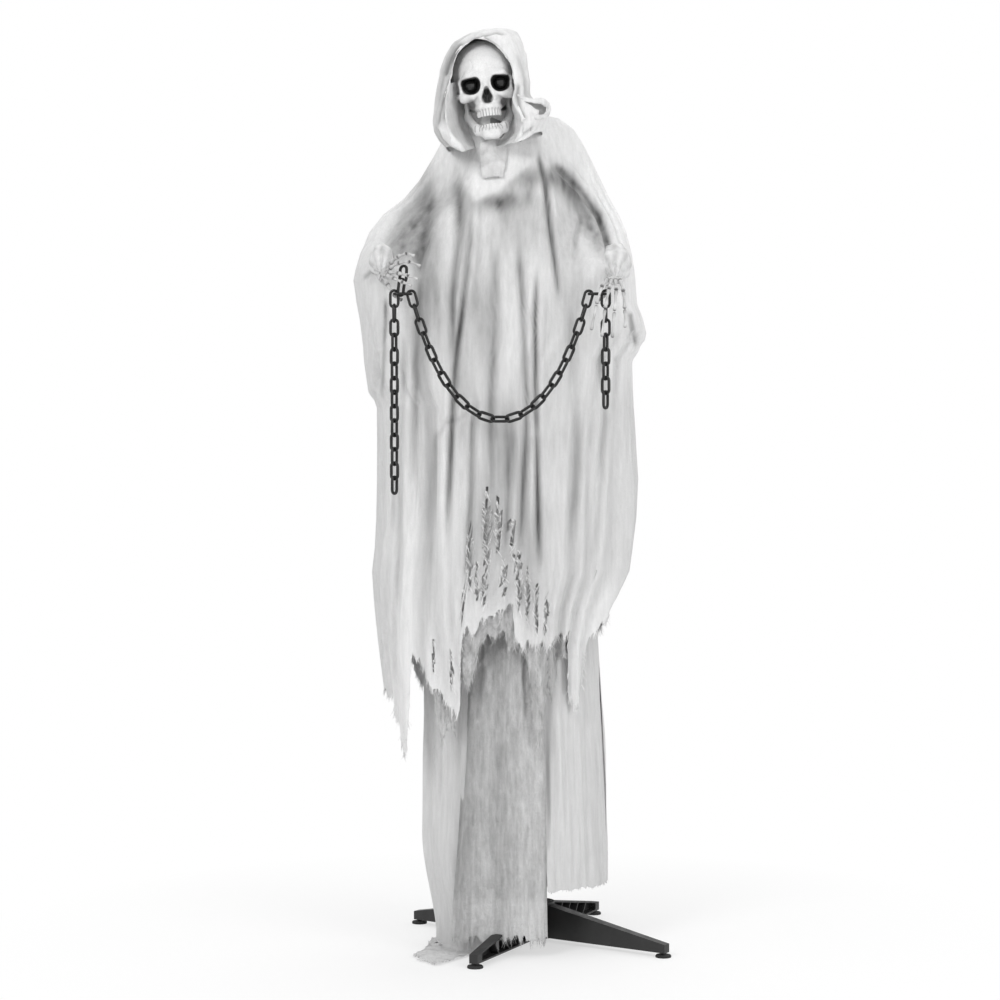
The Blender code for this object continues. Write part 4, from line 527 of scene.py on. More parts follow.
def robe_surface():
    """The robe's points and shade, with rows that lie closer near the neck."""
    turns = np.linspace(0, 2 * math.pi, ROBE_COLUMNS, endpoint=False)
    turn, share = np.meshgrid(turns, np.linspace(0, 1, ROBE_ROWS))
    hem = hem_height(turn)
    jag = rough(xyz(turn * 70), 21, 2) * 0.007
    share = np.where(share < 0.12, share * 0.45, 0.054 + (share - 0.12) * (0.946 / 0.88))
    points, fold = hang(turn, ROBE_TOP + (hem + jag - ROBE_TOP) * share)
    return points, paint(points, fold)


# Tears in the robe's front, as pixels: middle, half width, top, bottom.
TEARS = (
    (470, 4.2, 527, 590), (477, 2.6, 560, 600), (487, 5.0, 486, 570), (484, 3.6, 575, 606),
    (498, 3.6, 496, 552), (504, 2.8, 556, 596), (513, 3.2, 512, 560), (519, 3.6, 548, 612),
    (528, 2.8, 566, 625), (536, 3.0, 584, 634), (546, 2.2, 596, 636), (463, 2.0, 588, 622),
    (451, 1.8, 650, 690), (584, 1.8, 655, 690), (434, 1.6, 640, 676),
)


def torn(points):
    """Whether a face's middle lies in a tear of the robe's front."""
    px, py = pixels(points)
    gone = np.zeros(px.shape, bool)
    for i, (middle, half, top, bottom) in enumerate(TEARS):
        share = np.clip((py - top) / (bottom - top), 0.02, 0.98)
        level = xyz(py / 9.0, 0 * py + i * 7.3)
        sway, swell = 1.6 * noise(level * (0.5, 1, 1), 51), noise(level, 53)
        open_half = half * np.sin(math.pi * share) ** 0.6 * (0.75 + 0.45 * swell)
        inside = (np.abs(px + sway - middle) < open_half) & (py > top) & (py < bottom)
        gone |= inside & (points[..., 1] < -0.10)
    return gone


# The planes that part the sleeves from the robe, through a point and along its outward normal.
SLEEVE_PLANES = {-1: ((-0.04, 0, 1.64), (-0.953, 0, 0.304)), 1: ((0.055, 0, 1.64), (0.953, 0, 0.304))}


def build_robe():
    """The robe's cloth and both sleeves, cut from one drape, and the points of the hem."""
    points, shade = robe_surface()
    faces = grid_faces(ROBE_ROWS, ROBE_COLUMNS, wrap=True)
    flat, tone = points.reshape(-1, 3), shade.reshape(-1)
    faces = faces[~torn(flat[faces].mean(axis=1))]
    hem_points = points[-1]
    whole = make("robe_whole", flat, faces, GAUZE, tone)
    parts = {}
    for name, keep in (("robe_cloth", 0), ("left_sleeve_cloth", -1), ("right_sleeve_cloth", 1)):
        work = bmesh.new()
        work.from_mesh(whole.data)
        for side, (point, normal) in SLEEVE_PLANES.items():
            inner = keep != side
            if keep and inner:
                continue
            everything = work.verts[:] + work.edges[:] + work.faces[:]
            bmesh.ops.bisect_plane(
                work, geom=everything, dist=1e-6, plane_co=Vector(point) + Vector((FIGURE_X, 0, 0)),
                plane_no=Vector(normal), clear_outer=inner, clear_inner=not inner)
        mesh = bpy.data.meshes.new(name)
        work.to_mesh(mesh)
        work.free()
        mesh.materials.append(GAUZE)
        parts[keep] = add(name, mesh)
    bpy.data.objects.remove(whole)
    return parts, hem_points


# The robe's torn under layer: its hem as pixels of the photograph.
UNDER_HEM = (
    (420, 600), (426, 660), (430, 716), (434, 750), (438, 734), (442, 716), (446, 728), (450, 738),
    (453, 700), (457, 684), (461, 678), (467, 690), (473, 676), (478, 662), (482, 640), (488, 634),
    (497, 640), (505, 632), (512, 648), (520, 646), (528, 652), (534, 668), (538, 706), (542, 724),
    (546, 748), (550, 730), (554, 700), (558, 692), (562, 704), (567, 676), (574, 655), (590, 640),
)
UNDER_TOP = 1.00
UNDER_INSET = 0.007
UNDER_TURNS = (0.15 * math.pi, 0.80 * math.pi)
UNDER_COLUMNS, UNDER_ROWS = 260, 150


def build_under():
    """The torn layer that shows under the robe's hem and in its tears, and the points of its own hem."""
    turn, share = np.meshgrid(np.linspace(*UNDER_TURNS, UNDER_COLUMNS), np.linspace(0, 1, UNDER_ROWS))
    hem = drawn_hem(turn, UNDER_HEM) + 0.006 * rough(xyz(turn * 90), 141, 2)
    points, fold = hang(turn, UNDER_TOP + (hem - UNDER_TOP) * share, UNDER_INSET)
    grain = rough(points * (90, 90, 40), 147)
    holes = np.clip(noise(points * (260, 260, 200), 149) - 0.1, 0, 1)
    # Painted shade in the fold valleys, and darker spots where holes in the weave show the shade behind it.
    shade = np.clip(0.80 + 0.14 * grain - 0.55 * holes - 0.20 * np.clip(-fold, 0, 1), 0.2, 0.98)
    made = make("robe_under", points, grid_faces(UNDER_ROWS, UNDER_COLUMNS), GREY_GAUZE, shade)
    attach(made, "stand")
    return made, points[-1]


robe, robe_hem = build_robe()
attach(robe[0], "stand")
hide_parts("robe")
for side, body, node in ((-1, "left_arm", "left_sleeve"), (1, "right_arm", "right_sleeve")):
    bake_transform(robe[side])
    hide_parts(node)


# Hood: stations round the face opening, each with its front edge, widest line and back line, in pixels and
# depth.
HOOD_STATIONS = (
    ((464, 152, -0.168), (446, 149, -0.130), (487.5, 152, 0.020)),
    ((449, 134, -0.176), (433, 131, -0.120), (487.5, 136, 0.032)),
    ((445, 110, -0.170), (435, 108, -0.108), (487.5, 114, 0.042)),
    ((449, 84, -0.163), (440, 80, -0.098), (487.5, 92, 0.047)),
    ((455, 61, -0.158), (448, 57, -0.088), (488.0, 74, 0.044)),
    ((465, 46, -0.155), (461, 42, -0.080), (488.5, 60, 0.034)),
    ((482, 40, -0.156), (486, 33, -0.078), (488.5, 51, 0.014)),
    ((499, 49, -0.158), (515, 35, -0.082), (488.0, 60, 0.034)),
    ((510, 64, -0.162), (524, 55, -0.088), (487.5, 74, 0.044)),
    ((515, 84, -0.166), (530, 76, -0.094), (487.0, 92, 0.047)),
    ((515, 103, -0.172), (532, 98, -0.104), (487.0, 114, 0.042)),
    ((524, 124, -0.176), (547, 114, -0.124), (487.0, 136, 0.032)),
    ((516, 143, -0.168), (541, 133, -0.138), (487.0, 152, 0.020)),
)
# Its creases: pixels, half width in pixels, depth in metres, darkening as painted shade in the crease.
HOOD_CREASES = (
    (((506, 38), (496, 36), (485, 39), (475, 44)), 1.3, 0.0035, 0.40),
    (((502, 53), (492, 47), (481, 45), (471, 50), (463, 57)), 1.5, 0.0030, 0.45),
    (((464, 45), (455, 55), (449, 67), (445, 80)), 2.6, 0.0045, 0.60),
    (((460, 66), (455, 85), (449, 107), (444, 125)), 1.6, 0.0040, 0.50),
    (((452, 76), (446, 95), (441, 115), (438, 130)), 1.3, 0.0030, 0.35),
    (((437, 128), (443, 140), (452, 148), (463, 152)), 1.2, 0.0030, 0.40),
    (((519, 84), (517, 98), (520, 112), (526, 124)), 1.8, 0.0045, 0.55),
    (((524, 102), (532, 105), (540, 111)), 1.8, 0.0045, 0.50),
    (((541, 106), (543, 112), (540, 117)), 1.8, 0.0070, 0.75),
    (((526, 42), (528, 60), (531, 85)), 1.5, 0.0030, 0.28),
    (((519, 36), (523, 46), (524, 56)), 1.1, 0.0020, 0.30),
    (((534, 126), (524, 134), (514, 140)), 1.5, 0.0030, 0.30),
)
HOOD_COLUMNS = 220
HOOD_ROWS = 110
HOOD_EDGE_SHARE = 0.30
HOOD_CENTRE = (488, 88, -0.060)


def curve_through(points, shares):
    """A smooth curve through points, read at shares of its length in steps."""
    points = np.asarray(points, float)
    place = np.clip(np.asarray(shares), 0, 1) * (len(points) - 1)
    i = np.minimum(place.astype(int), len(points) - 2)
    t = (place - i)[..., None]
    a, b = points[np.maximum(i - 1, 0)], points[i]
    c, d = points[i + 1], points[np.minimum(i + 2, len(points) - 1)]
    bend, twist = 2 * a - 5 * b + 4 * c - d, 3 * b - a - 3 * c + d
    return 0.5 * (2 * b + (c - a) * t + bend * t ** 2 + twist * t ** 3)


def hood_lines(around):
    """Front edge, widest line and back line of the hood at shares of the way round the face."""
    return [curve_through([spot(*station[i]) for station in HOOD_STATIONS], around) for i in range(3)]


def hood_point(around, back):
    """The hood's cloth: from its front edge out to its widest line, then round to its back line."""
    front, wide, behind = hood_lines(around)
    t = np.clip(back / HOOD_EDGE_SHARE, 0, 1) * math.pi / 2
    s = np.clip((back - HOOD_EDGE_SHARE) / (1 - HOOD_EDGE_SHARE), 0, 1) * math.pi / 2
    near = front + (wide - front) * xyz(np.sin(t), 1 - np.cos(t), np.sin(t))
    far = behind + (wide - behind) * xyz(np.cos(s), 1 - np.sin(s), np.cos(s))
    return np.where((back < HOOD_EDGE_SHARE)[..., None], near, far)


def surface_normals(points):
    """Directions square to a grid of points."""
    down, over = np.gradient(points, axis=0), np.gradient(points, axis=1)
    out = np.cross(down, over)
    return out / (np.linalg.norm(out, axis=-1, keepdims=True) + 1e-12)


def build_hood():
    """The hood's cloth, with its folds and creases, its edge rolled outward, and painted shade in its
    creases, fold valleys, the dip behind its edge and over its left side.
    """
    around, back = np.meshgrid(np.linspace(0, 1, HOOD_COLUMNS), np.linspace(0, 1, HOOD_ROWS))
    points = hood_point(around, back)
    out = surface_normals(points)
    away = points - spot(*HOOD_CENTRE)
    out *= np.where(np.sum(out * away, axis=-1) < 0, -1, 1)[..., None]
    fold = rough(xyz(around * 5.0, back * 3.2), 61) * 0.55
    fold = fold + noise(xyz(around * 3 + back * 5, back * 12 - around * 6), 66)
    lower = 0.4 + 0.6 * smooth(0.30, 0.0, np.minimum(around, 1 - around))
    size = 0.0045 * lower * smooth(0, 0.06, back) * smooth(1.0, 0.9, back)
    roll = 0.0045 * hill(back, 0.07) - 0.0035 * hill(back - 0.16, 0.05)
    px, py = pixels(points)
    ahead = smooth(-0.04, -0.08, points[..., 1])
    cut, dark = creases(px, py, HOOD_CREASES, (0.15, 0.85), (2.4, 0.5), ahead)
    points = points + out * (fold * size + roll + 0.001 - cut)[..., None]
    # Painted shade: in the creases, in the fold valleys, in the dip behind the rolled edge on the left, and
    # over the hood's left side.
    shade = 1 - dark - 0.28 * np.clip(-fold, 0, 1) - 0.20 * hill(back - 0.15, 0.05) * smooth(0.6, 0.3, around)
    shade = shade - 0.10 * rough(points * 45, 70) - 0.06 * (1 - lower) - 0.13 * smooth(478, 456, px) * ahead
    faces = grid_faces(HOOD_ROWS, HOOD_COLUMNS)
    return make("hood_cloth", points, faces, HOOD_GAUZE, np.clip(shade, 0.2, 1))


def tube_along(route, radii, sides):
    """Points and faces of a closed-ended tube of changing radius along a route."""
    route = np.asarray(route, float)
    along = np.gradient(route, axis=0)
    along /= np.linalg.norm(along, axis=1, keepdims=True) + 1e-12
    side = np.cross(along, (0.13, 0.9, 0.41))
    side /= np.linalg.norm(side, axis=1, keepdims=True) + 1e-12
    up = np.cross(along, side)
    turn = np.linspace(0, 2 * math.pi, sides, endpoint=False)
    radii = np.broadcast_to(np.asarray(radii, float).reshape(-1, 1, 1), (len(route), 1, 1))
    ring = side[:, None] * np.cos(turn)[None, :, None] + up[:, None] * np.sin(turn)[None, :, None]
    points = (route[:, None] + ring * radii).reshape(-1, 3)
    faces = grid_faces(len(route), sides, wrap=True).tolist()
    faces += [tuple(range(sides))[::-1], tuple(range(len(points) - sides, len(points)))]
    return points, faces


def rolled(name, route, radii, sides, wobble, grain, shading):
    """A rolled edge of cloth. Its route, surface and shade are roughened by size, scale and seed."""
    size, scale, seed = wobble
    route = route + size * np.stack([rough(route * scale, seed + i) for i in range(3)], -1)
    points, faces = tube_along(route, radii, sides)
    size, scale, seed = grain
    points = points + size * rough(points * scale, seed)[:, None]
    pale, size, scale, seed = shading
    shade = np.clip(pale - size * rough(points * scale, seed), 0.4, 1)
    return make(name, points, faces, HOOD_GAUZE, shade)


def hood_rim():
    """The hood's rolled front edge."""
    shares = np.linspace(0.0, 1.0, 150)
    radii = 0.0036 + 0.0016 * noise(xyz(shares * 26), 84)
    radii = radii * (0.7 + 0.9 * smooth(0.35, 0.0, shares) + 0.6 * smooth(0.75, 1.0, shares))
    route = hood_lines(shares)[0]
    return rolled("hood_hem", route, radii, 10, (0.0012, 60, 80), (0.0007, 260, 88), (0.96, 0.12, 80, 90))


# The cowl's inner cloth, from the hood's lower edge in to the neck: left side, then right side.
LEFT_LINING = (
    ((464, 153, -0.168), (469, 151, -0.148), (476, 149, -0.100)),
    ((450, 135, -0.175), (457, 132, -0.140), (469, 130, -0.070)),
    ((446, 110, -0.168), (454, 107, -0.130), (465, 105, -0.055)),
    ((450, 86, -0.160), (455, 84, -0.125), (464, 84, -0.080)),
)
RIGHT_LINING = (
    ((514, 97, -0.168), (512, 100, -0.130), (509, 104, -0.080)),
    ((520, 112, -0.176), (516, 118, -0.135), (508, 120, -0.075)),
    ((531, 130, -0.176), (519, 132, -0.145), (504, 132, -0.085)),
    ((514, 144, -0.168), (506, 146, -0.150), (494, 148, -0.110)),
)


def patch(name, rows, columns, lines, fold, seed, pale, scale=40):
    """A smooth sheet through a net of points, with small folds and painted shade that is darker where they
    sink.
    """
    lines = np.array([[spot(*p) for p in line] for line in lines])
    rails = np.array([curve_through(line, np.linspace(0, 1, columns)) for line in lines])
    down = np.linspace(0, 1, rows)
    points = np.stack([curve_through(rails[:, i], down) for i in range(columns)], axis=1)
    height = rough(points * scale, seed)
    points = points + surface_normals(points) * (height * fold)[..., None]
    # Painted shade: lighter where the folds rise and darker where they sink.
    shade = np.clip(pale + 0.12 * height, 0.1, 1)
    return make(name, points, grid_faces(rows, columns), HOOD_GAUZE, shade)


# The collar's rolled fold at the right, from the face opening out and back: pixels and depth.
ROLL = ((516, 95, -0.164), (523, 100, -0.172), (531, 102, -0.173), (539, 102, -0.168), (546, 105, -0.158),
        (549, 111, -0.152), (545, 117, -0.158), (537, 119, -0.168), (529, 120, -0.174), (521, 122, -0.174))
# A darker sheet inside that fold: painted shade in the fold's mouth.
MOUTH_SHADE = (
    ((529, 104, -0.166), (538, 104, -0.158), (546, 107, -0.150)),
    ((528, 111, -0.160), (537, 111, -0.148), (546, 111, -0.144)),
    ((528, 118, -0.166), (537, 118, -0.158), (545, 116, -0.150)),
)


def build_roll():
    """The collar's rolled fold, thinner toward its ends."""
    shares = np.linspace(0, 1, 90)
    radii = 0.0052 + 0.0016 * noise(xyz(shares * 14), 164)
    radii = radii * (0.5 + 0.5 * np.sin(shares * math.pi) ** 0.4)
    route = curve_through([spot(*p) for p in ROLL], shares)
    return rolled("hood_roll", route, radii, 14, (0.0010, 70, 160), (0.0008, 200, 166), (0.94, 0.16, 90, 168))


hood = build_hood()
rim = hood_rim()
roll = build_roll()
# A sheet of painted shade inside the collar's rolled fold.
fold_shade_sheet = patch("hood_fold_shade", 30, 30, MOUTH_SHADE, 0.002, 171, 0.42)
lining_left = patch("hood_lining_left", 50, 40, LEFT_LINING, 0.003, 101, 0.81)
lining_right = patch("hood_lining_right", 50, 40, RIGHT_LINING, 0.003, 111, 0.84)
for piece in (hood, rim, roll, fold_shade_sheet, lining_left, lining_right):
    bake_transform(piece)
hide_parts("hood")


# Chest flap: a torn rag under the chin.
FLAP = (
    ((481, 140, -0.108), (493, 142, -0.114), (505, 140, -0.109)),
    ((480, 152, -0.114), (493, 154, -0.122), (507, 152, -0.115)),
    ((481, 166, -0.123), (494, 167, -0.131), (505, 166, -0.124)),
    ((483, 180, -0.131), (493, 177, -0.137), (503, 178, -0.132)),
)
flap = patch("chest_rag", 60, 40, FLAP, 0.0035, 121, 0.80, 55)
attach(flap, "stand")
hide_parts("chest_flap")


# Distance fields and their surface

def egg(p, centre, radii):
    """Below 0 inside an egg, and above 0 outside it."""
    return (np.linalg.norm((p - centre) / np.asarray(radii, float), axis=-1) - 1) * min(radii)


def capsule(p, a, b, radius):
    """Distance from a bar with round ends."""
    a, b = np.asarray(a, float), np.asarray(b, float)
    t = np.clip(((p - a) @ (b - a)) / ((b - a) @ (b - a)), 0, 1)
    return np.linalg.norm(p - a - t[..., None] * (b - a), axis=-1) - radius


def lozenge(p, centre, half, edge, turn):
    """A rounded box turned about the upright axis."""
    q = p - np.asarray(centre, float)
    c, s = math.cos(turn), math.sin(turn)
    q = np.stack([q[..., 0] * c + q[..., 1] * s, -q[..., 0] * s + q[..., 1] * c, q[..., 2]], -1)
    q = np.abs(q) - (np.asarray(half, float) - edge)
    outside = np.linalg.norm(np.maximum(q, 0), axis=-1)
    return outside + np.minimum(q.max(axis=-1), 0) - edge


def join(a, b, blend):
    """Two fields together, with a soft seam as wide as the blend."""
    h = np.clip(0.5 + 0.5 * (b - a) / blend, 0, 1)
    return b + (a - b) * h - blend * h * (1 - h)


def carve(a, b, blend):
    """The first field without the second."""
    return -join(-a, b, blend)


def surface_net(field, low, step):
    """Vertices and quads of a field's zero level, one vertex in each crossed cell."""
    inside = field < 0
    n = np.array(field.shape)
    total, count = np.zeros((*(n - 1), 3)), np.zeros(n - 1)
    for axis in range(3):
        others = [i for i in range(3) if i != axis]
        for du in (0, 1):
            for dv in (0, 1):
                a, b = [slice(0, -1)] * 3, [slice(0, -1)] * 3
                a[others[0]] = b[others[0]] = slice(du, du + n[others[0]] - 1)
                a[others[1]] = b[others[1]] = slice(dv, dv + n[others[1]] - 1)
                b[axis] = slice(1, None)
                fa, fb = field[tuple(a)], field[tuple(b)]
                crossed = (fa < 0) != (fb < 0)
                t = np.where(crossed, fa / np.where(crossed, fa - fb, 1), 0)
                place = np.zeros((*t.shape, 3))
                place[..., axis], place[..., others[0]], place[..., others[1]] = t, du, dv
                total += place * crossed[..., None]
                count += crossed
    live = count > 0
    index = np.full(count.shape, -1)
    index[live] = np.arange(live.sum())
    cells = np.argwhere(live)
    points = (cells + total[live] / count[live][:, None]) * step + low
    faces = []
    for axis in range(3):
        u, v = (axis + 1) % 3, (axis + 2) % 3
        a, b = [slice(1, -1)] * 3, [slice(1, -1)] * 3
        a[axis], b[axis] = slice(0, -1), slice(1, None)
        crossed = inside[tuple(a)] != inside[tuple(b)]
        where = np.argwhere(crossed)
        offset = np.ones(3, int)
        offset[axis] = 0
        where = where + offset
        filled = inside[where[:, 0], where[:, 1], where[:, 2]]
        corners = []
        for du, dv in ((1, 1), (0, 1), (0, 0), (1, 0)):
            cell = where.copy()
            cell[:, u] -= du
            cell[:, v] -= dv
            corners.append(index[cell[:, 0], cell[:, 1], cell[:, 2]])
        quad = np.stack(corners, axis=1)
        quad[~filled] = quad[~filled][:, ::-1]
        faces.append(quad)
    return points, np.concatenate(faces)


def bars(field, p, rows):
    """A field with bars of bone joined to it: both ends, radius, blend."""
    for start, end, radius, blend in rows:
        field = join(field, capsule(p, start, end, radius), blend)
    return field


def sample(low, high, step, shape):
    """Vertices and quads of a shape's surface inside a box."""
    axes = [np.arange(a, b + step, step) for a, b in zip(low, high)]
    grid = np.stack(np.meshgrid(*axes, indexing="ij"), -1)
    return surface_net(shape(grid), np.asarray(low, float), step)


# Skull, in millimetres from the middle between its eyes, facing along -y.

def mirror(p):
    """The same points with their left half folded over to the right."""
    q = p.copy()
    q[..., 0] = np.abs(q[..., 0])
    return q


TEETH_TURN = math.radians(72)


def arch_teeth(p, field, count, width, middle_y, depth, z, half):
    """A field with a row of teeth round an arch."""
    for i in range(count):
        turn = (i + 0.5) / count * 2 - 1
        angle = turn * TEETH_TURN
        x, y = width * math.sin(angle), middle_y - depth * math.cos(angle)
        grow = 1.0 - 0.10 * abs(turn)
        tall = 1.0 - 0.14 * abs(turn) + (0.05 if i % 3 == 0 else 0.0)
        size = (half[0] * grow, half[1], half[2] * tall)
        field = join(field, lozenge(p, (x, y, z), size, 1.9, -angle), 0.8)
    return field


def eye_socket(q, middle_y, deep, inset):
    """Hollow of the eye: three eggs under a flat brow."""
    hollow = egg(q, (28.5, middle_y, -2.2), (18.6 - inset, deep, 16.8 - inset))
    hollow = np.minimum(hollow, egg(q, (32.5, middle_y, 3.5), (15.5 - inset, deep, 13.0 - inset)))
    hollow = np.minimum(hollow, egg(q, (24.5, middle_y, 2.0), (14.5 - inset, deep, 13.5 - inset)))
    return np.maximum(hollow, q[..., 2] - 12.0 + 0.08 * (q[..., 0] - 28) + 0.5 * inset)


def skull_field(p):
    """The skull without its jaw: brain case, brow, cheeks, hollows, upper teeth and fine cracks."""
    q = mirror(p)
    body = egg(q, (0, 34, 21.5), (64, 82, 69.5))
    body = join(body, egg(q, (0, -12, 20), (46, 36, 42)), 14)
    body = carve(body, egg(q, (80, -14, 4), (26, 36, 36)), 10)
    body = join(body, egg(q, (0, -20, -12), (30, 26, 34)), 12)
    body = bars(body, q, (
        ((9, -42, 13), (34, -41, 17.5), 5.0, 6), ((34, -41, 17.5), (48, -24, 7), 4.6, 6),
        ((48, -25, 7), (47, -27, -15), 4.4, 4), ((12, -42, -19), (30, -39, -23), 4.0, 5),
        ((30, -39, -23), (46, -28, -19), 5.2, 5)))
    body = join(body, egg(q, (41, -28, -25), (13, 11, 10)), 6)
    body = bars(body, q, (((48, -22, -19), (59, 8, -14), 4.2, 4), ((59, 8, -14), (59, 30, -8), 4.0, 5)))
    body = join(body, egg(q, (0, -20, -40), (25, 24, 17)), 9)
    body = bars(body, q, (((0, -46, 8), (0, -51, -10), 5.2, 5), ((10, -44, -4), (13, -41, -30), 3.6, 5)))
    body = carve(body, egg(q, (37, -14, -46), (12, 22, 18)), 6)
    body = carve(body, egg(q, (0, 4, -72), (34, 34, 22)), 5)
    body = carve(body, eye_socket(q, -42, 28, 0), 2.2)
    nose = np.minimum(egg(q, (4.8, -52, -30), (7.2, 20, 9.4)), egg(q, (0, -52, -18), (6.0, 19, 12)))
    body = carve(body, nose, 1.6)
    body = join(body, capsule(q, (0, -36, -13), (0, -36, -36), 0.9), 1.0)
    for i in range(5):
        a, b = math.radians(-62 + 25 * i), math.radians(-62 + 25 * (i + 1))
        start = (24.5 * math.sin(a), -14 - 28 * math.cos(a), -46)
        end = (24.5 * math.sin(b), -14 - 28 * math.cos(b), -46)
        body = join(body, capsule(p, start, end, 5.4), 4)
    cracks = np.abs(noise(p / 34.0, 201) + 0.25 * noise(p / 9.0, 204))
    body = body + 0.9 * hill(cracks, 0.035) * (p[..., 2] > 18)
    body = body + 0.30 * noise(p / 5.0, 207) + 0.35 * noise(p / 13.0, 209)
    return arch_teeth(p, body, 10, 23.0, -14, 28.5, -56.5, (2.70, 2.7, 7.4))


def jaw_field(p):
    """The jaw, from its two joints round to the chin, with the lower teeth."""
    q = mirror(p)
    body = egg(q, (41, 13, -38), (5.2, 12, 25))
    body = join(body, capsule(q, (41.5, 20, -17), (41.5, 17, -26), 4.6), 5)
    for height, radius in ((-99, 6.2), (-91, 5.0)):
        corners = ((41, 12, -56), (26, -18, height + 10), (10, -34, height), (0, -37, height))
        body = bars(body, q, [(a, b, radius, 8) for a, b in zip(corners, corners[1:])])
    body = join(body, egg(q, (0, -37, -101), (9, 7.5, 6.5)), 6)
    body = body + 0.25 * noise(p / 5.0, 221) + 0.3 * noise(p / 12.0, 223)
    return arch_teeth(p, body, 9, 20.0, -12, 25.0, -83.0, (2.55, 2.5, 5.8))


HEAD_PLACE = np.array((-0.0279, -0.120, 1.6946))
HEAD_ROLL = math.radians(-7.0)
MILLIMETRE = 0.001


def to_head(points):
    """From the skull's millimetres to the figure's metres."""
    turn = np.array(Matrix.Rotation(HEAD_ROLL, 3, "Y"))
    return points * MILLIMETRE @ turn.T + HEAD_PLACE


def skull_shade(p, jaw=False):
    """Grey wash and painted shade: darker in the eye and nose hollows, beside the cheeks, between the teeth
    and toward the back of the jaw.
    """
    q = mirror(p)
    dark = 0
    for depth, hollow, reach in ((0.97, eye_socket(q, -34, 25, 1.6), 2.2),
                                 (0.88, egg(q, (0, -40, -25), (8.5, 13, 13)), 2.0),
                                 (0.50, egg(q, (36, -10, -44), (11, 22, 17)), 7.0)):
        dark = np.maximum(dark, depth * hill(np.maximum(hollow, 0), reach))
    rows = ((23.0, -14, 28.5, -48.5, -64.5, 10), (20.0, -12, 25.0, -77.0, -90.0, 9))
    width, middle_y, depth, top, bottom, count = rows[jaw]
    angle = np.arctan2(p[..., 0] / width, -(p[..., 1] - middle_y) / depth)
    place = (angle / TEETH_TURN + 1) / 2 * count
    groove = hill(place - np.round(place), 0.10) * smooth(bottom - 1, bottom + 1, p[..., 2])
    groove = groove * smooth(top + 1, top - 1, p[..., 2]) * (p[..., 1] < -2)
    if jaw:
        # On the jaw, painted shade toward its back and sides.
        dark = 0.34 * smooth(-14, 4, p[..., 1] * 0.7 + np.abs(p[..., 0]) * 0.2)
    dark = np.maximum(dark, 0.62 * groove)
    grain = 0.10 * rough(p / 14.0, 231) + 0.05 * noise(p / 3.0, 236)
    return np.clip(0.76 - dark * 0.80 - 0.16 * np.clip(grain + 0.1, 0, 1) + 0.05 * grain, 0.03, 0.86)


def thin_out(thing, share):
    """Fewer faces where the surface is plain."""
    tool = thing.modifiers.new("thin", "DECIMATE")
    tool.ratio = share
    bpy.context.view_layer.objects.active = thing
    with bpy.context.temp_override(object=thing, active_object=thing):
        bpy.ops.object.modifier_apply(modifier="thin")


STEP = 1.15
points, faces = sample((-70, -66, -72), (70, 122, 98), STEP, skull_field)
skull = make("skull", to_head(points), faces, BONE, skull_shade(points))
thin_out(skull, 0.4)
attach(skull, "head")
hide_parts("skull_face", "skull_back")
points, faces = sample((-52, -54, -112), (52, 36, -8), STEP * 0.8, jaw_field)
jaw = make("lower_jaw", to_head(points), faces, BONE, skull_shade(points, True))
thin_out(jaw, 0.5)
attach(jaw, "jaw")
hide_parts("jaw")


# Hands: bones along the same joints as the solid hand, as shares of its size from the wrist.
SIDE_WORDS = {-1: "left", 1: "right"}
HAND_SIZE = 0.100
WRISTS = {-1: (-0.228, -0.190, 1.332), 1: (0.222, -0.185, 1.325)}
ELBOWS = {-1: (-0.228, 0.0, 1.412), 1: (0.228, 0.0, 1.412)}
DIGITS = {
    -1: (
        ((0.21, -0.50, 0.12), (0.36, -0.86, 0.22), (0.52, -1.00, 0.27), (0.68, -0.98, 0.22)),
        ((0.20, -0.52, 0.03), (0.38, -0.92, 0.10), (0.58, -1.06, 0.11), (0.79, -1.00, 0.03)),
        ((0.18, -0.52, -0.06), (0.36, -0.92, -0.10), (0.55, -1.05, -0.15), (0.74, -1.00, -0.22)),
        ((0.14, -0.50, -0.12), (0.28, -0.90, -0.20), (0.44, -1.02, -0.27), (0.62, -0.98, -0.34)),
    ),
    1: (
        ((-0.18, -0.50, -0.12), (-0.30, -0.95, -0.28), (-0.40, -1.04, -0.62), (-0.50, -1.03, -1.12)),
        ((-0.10, -0.48, -0.14), (-0.16, -0.93, -0.32), (-0.24, -1.02, -0.70), (-0.30, -1.00, -1.24)),
        ((-0.02, -0.46, -0.14), (-0.02, -0.88, -0.34), (-0.06, -0.97, -0.75), (-0.10, -0.96, -1.26)),
        ((0.07, -0.42, -0.14), (0.12, -0.78, -0.36), (0.14, -0.86, -0.70), (0.15, -0.85, -1.06)),
    ),
}
THUMBS = {-1: (0.14, -0.34, -0.30), 1: (-0.16, -0.32, -0.26)}
GRIP = (0.1845, -0.262, 1.284)
# A long bone: shares of its length, its radius there as a share of the given one, and how pale it is, darker
# toward its ends: partly grey wash and partly painted shade where the bones meet.
BONE_SHARES = np.array((0.0, 0.02, 0.07, 0.16, 0.28, 0.50, 0.72, 0.86, 0.94, 0.985, 1.0))
BONE_RADII = np.array((0.30, 0.85, 1.22, 1.15, 0.80, 0.68, 0.78, 1.12, 1.18, 0.85, 0.30))
BONE_SIDES = 12
BONE_WASH_AND_SHADE = (0.25, 0.40, 0.78, 0.92, 1.0, 0.88, 1.0, 0.95, 0.80, 0.40, 0.25)


def bone_piece(start, end, radius):
    """A small long bone: narrow in its middle, with a knuckle at each end."""
    start, end = np.asarray(start, float), np.asarray(end, float)
    route = start + (end - start) * BONE_SHARES[:, None]
    points, faces = tube_along(route, radius * BONE_RADII, BONE_SIDES)
    return points, faces, np.repeat(BONE_WASH_AND_SHADE, BONE_SIDES)


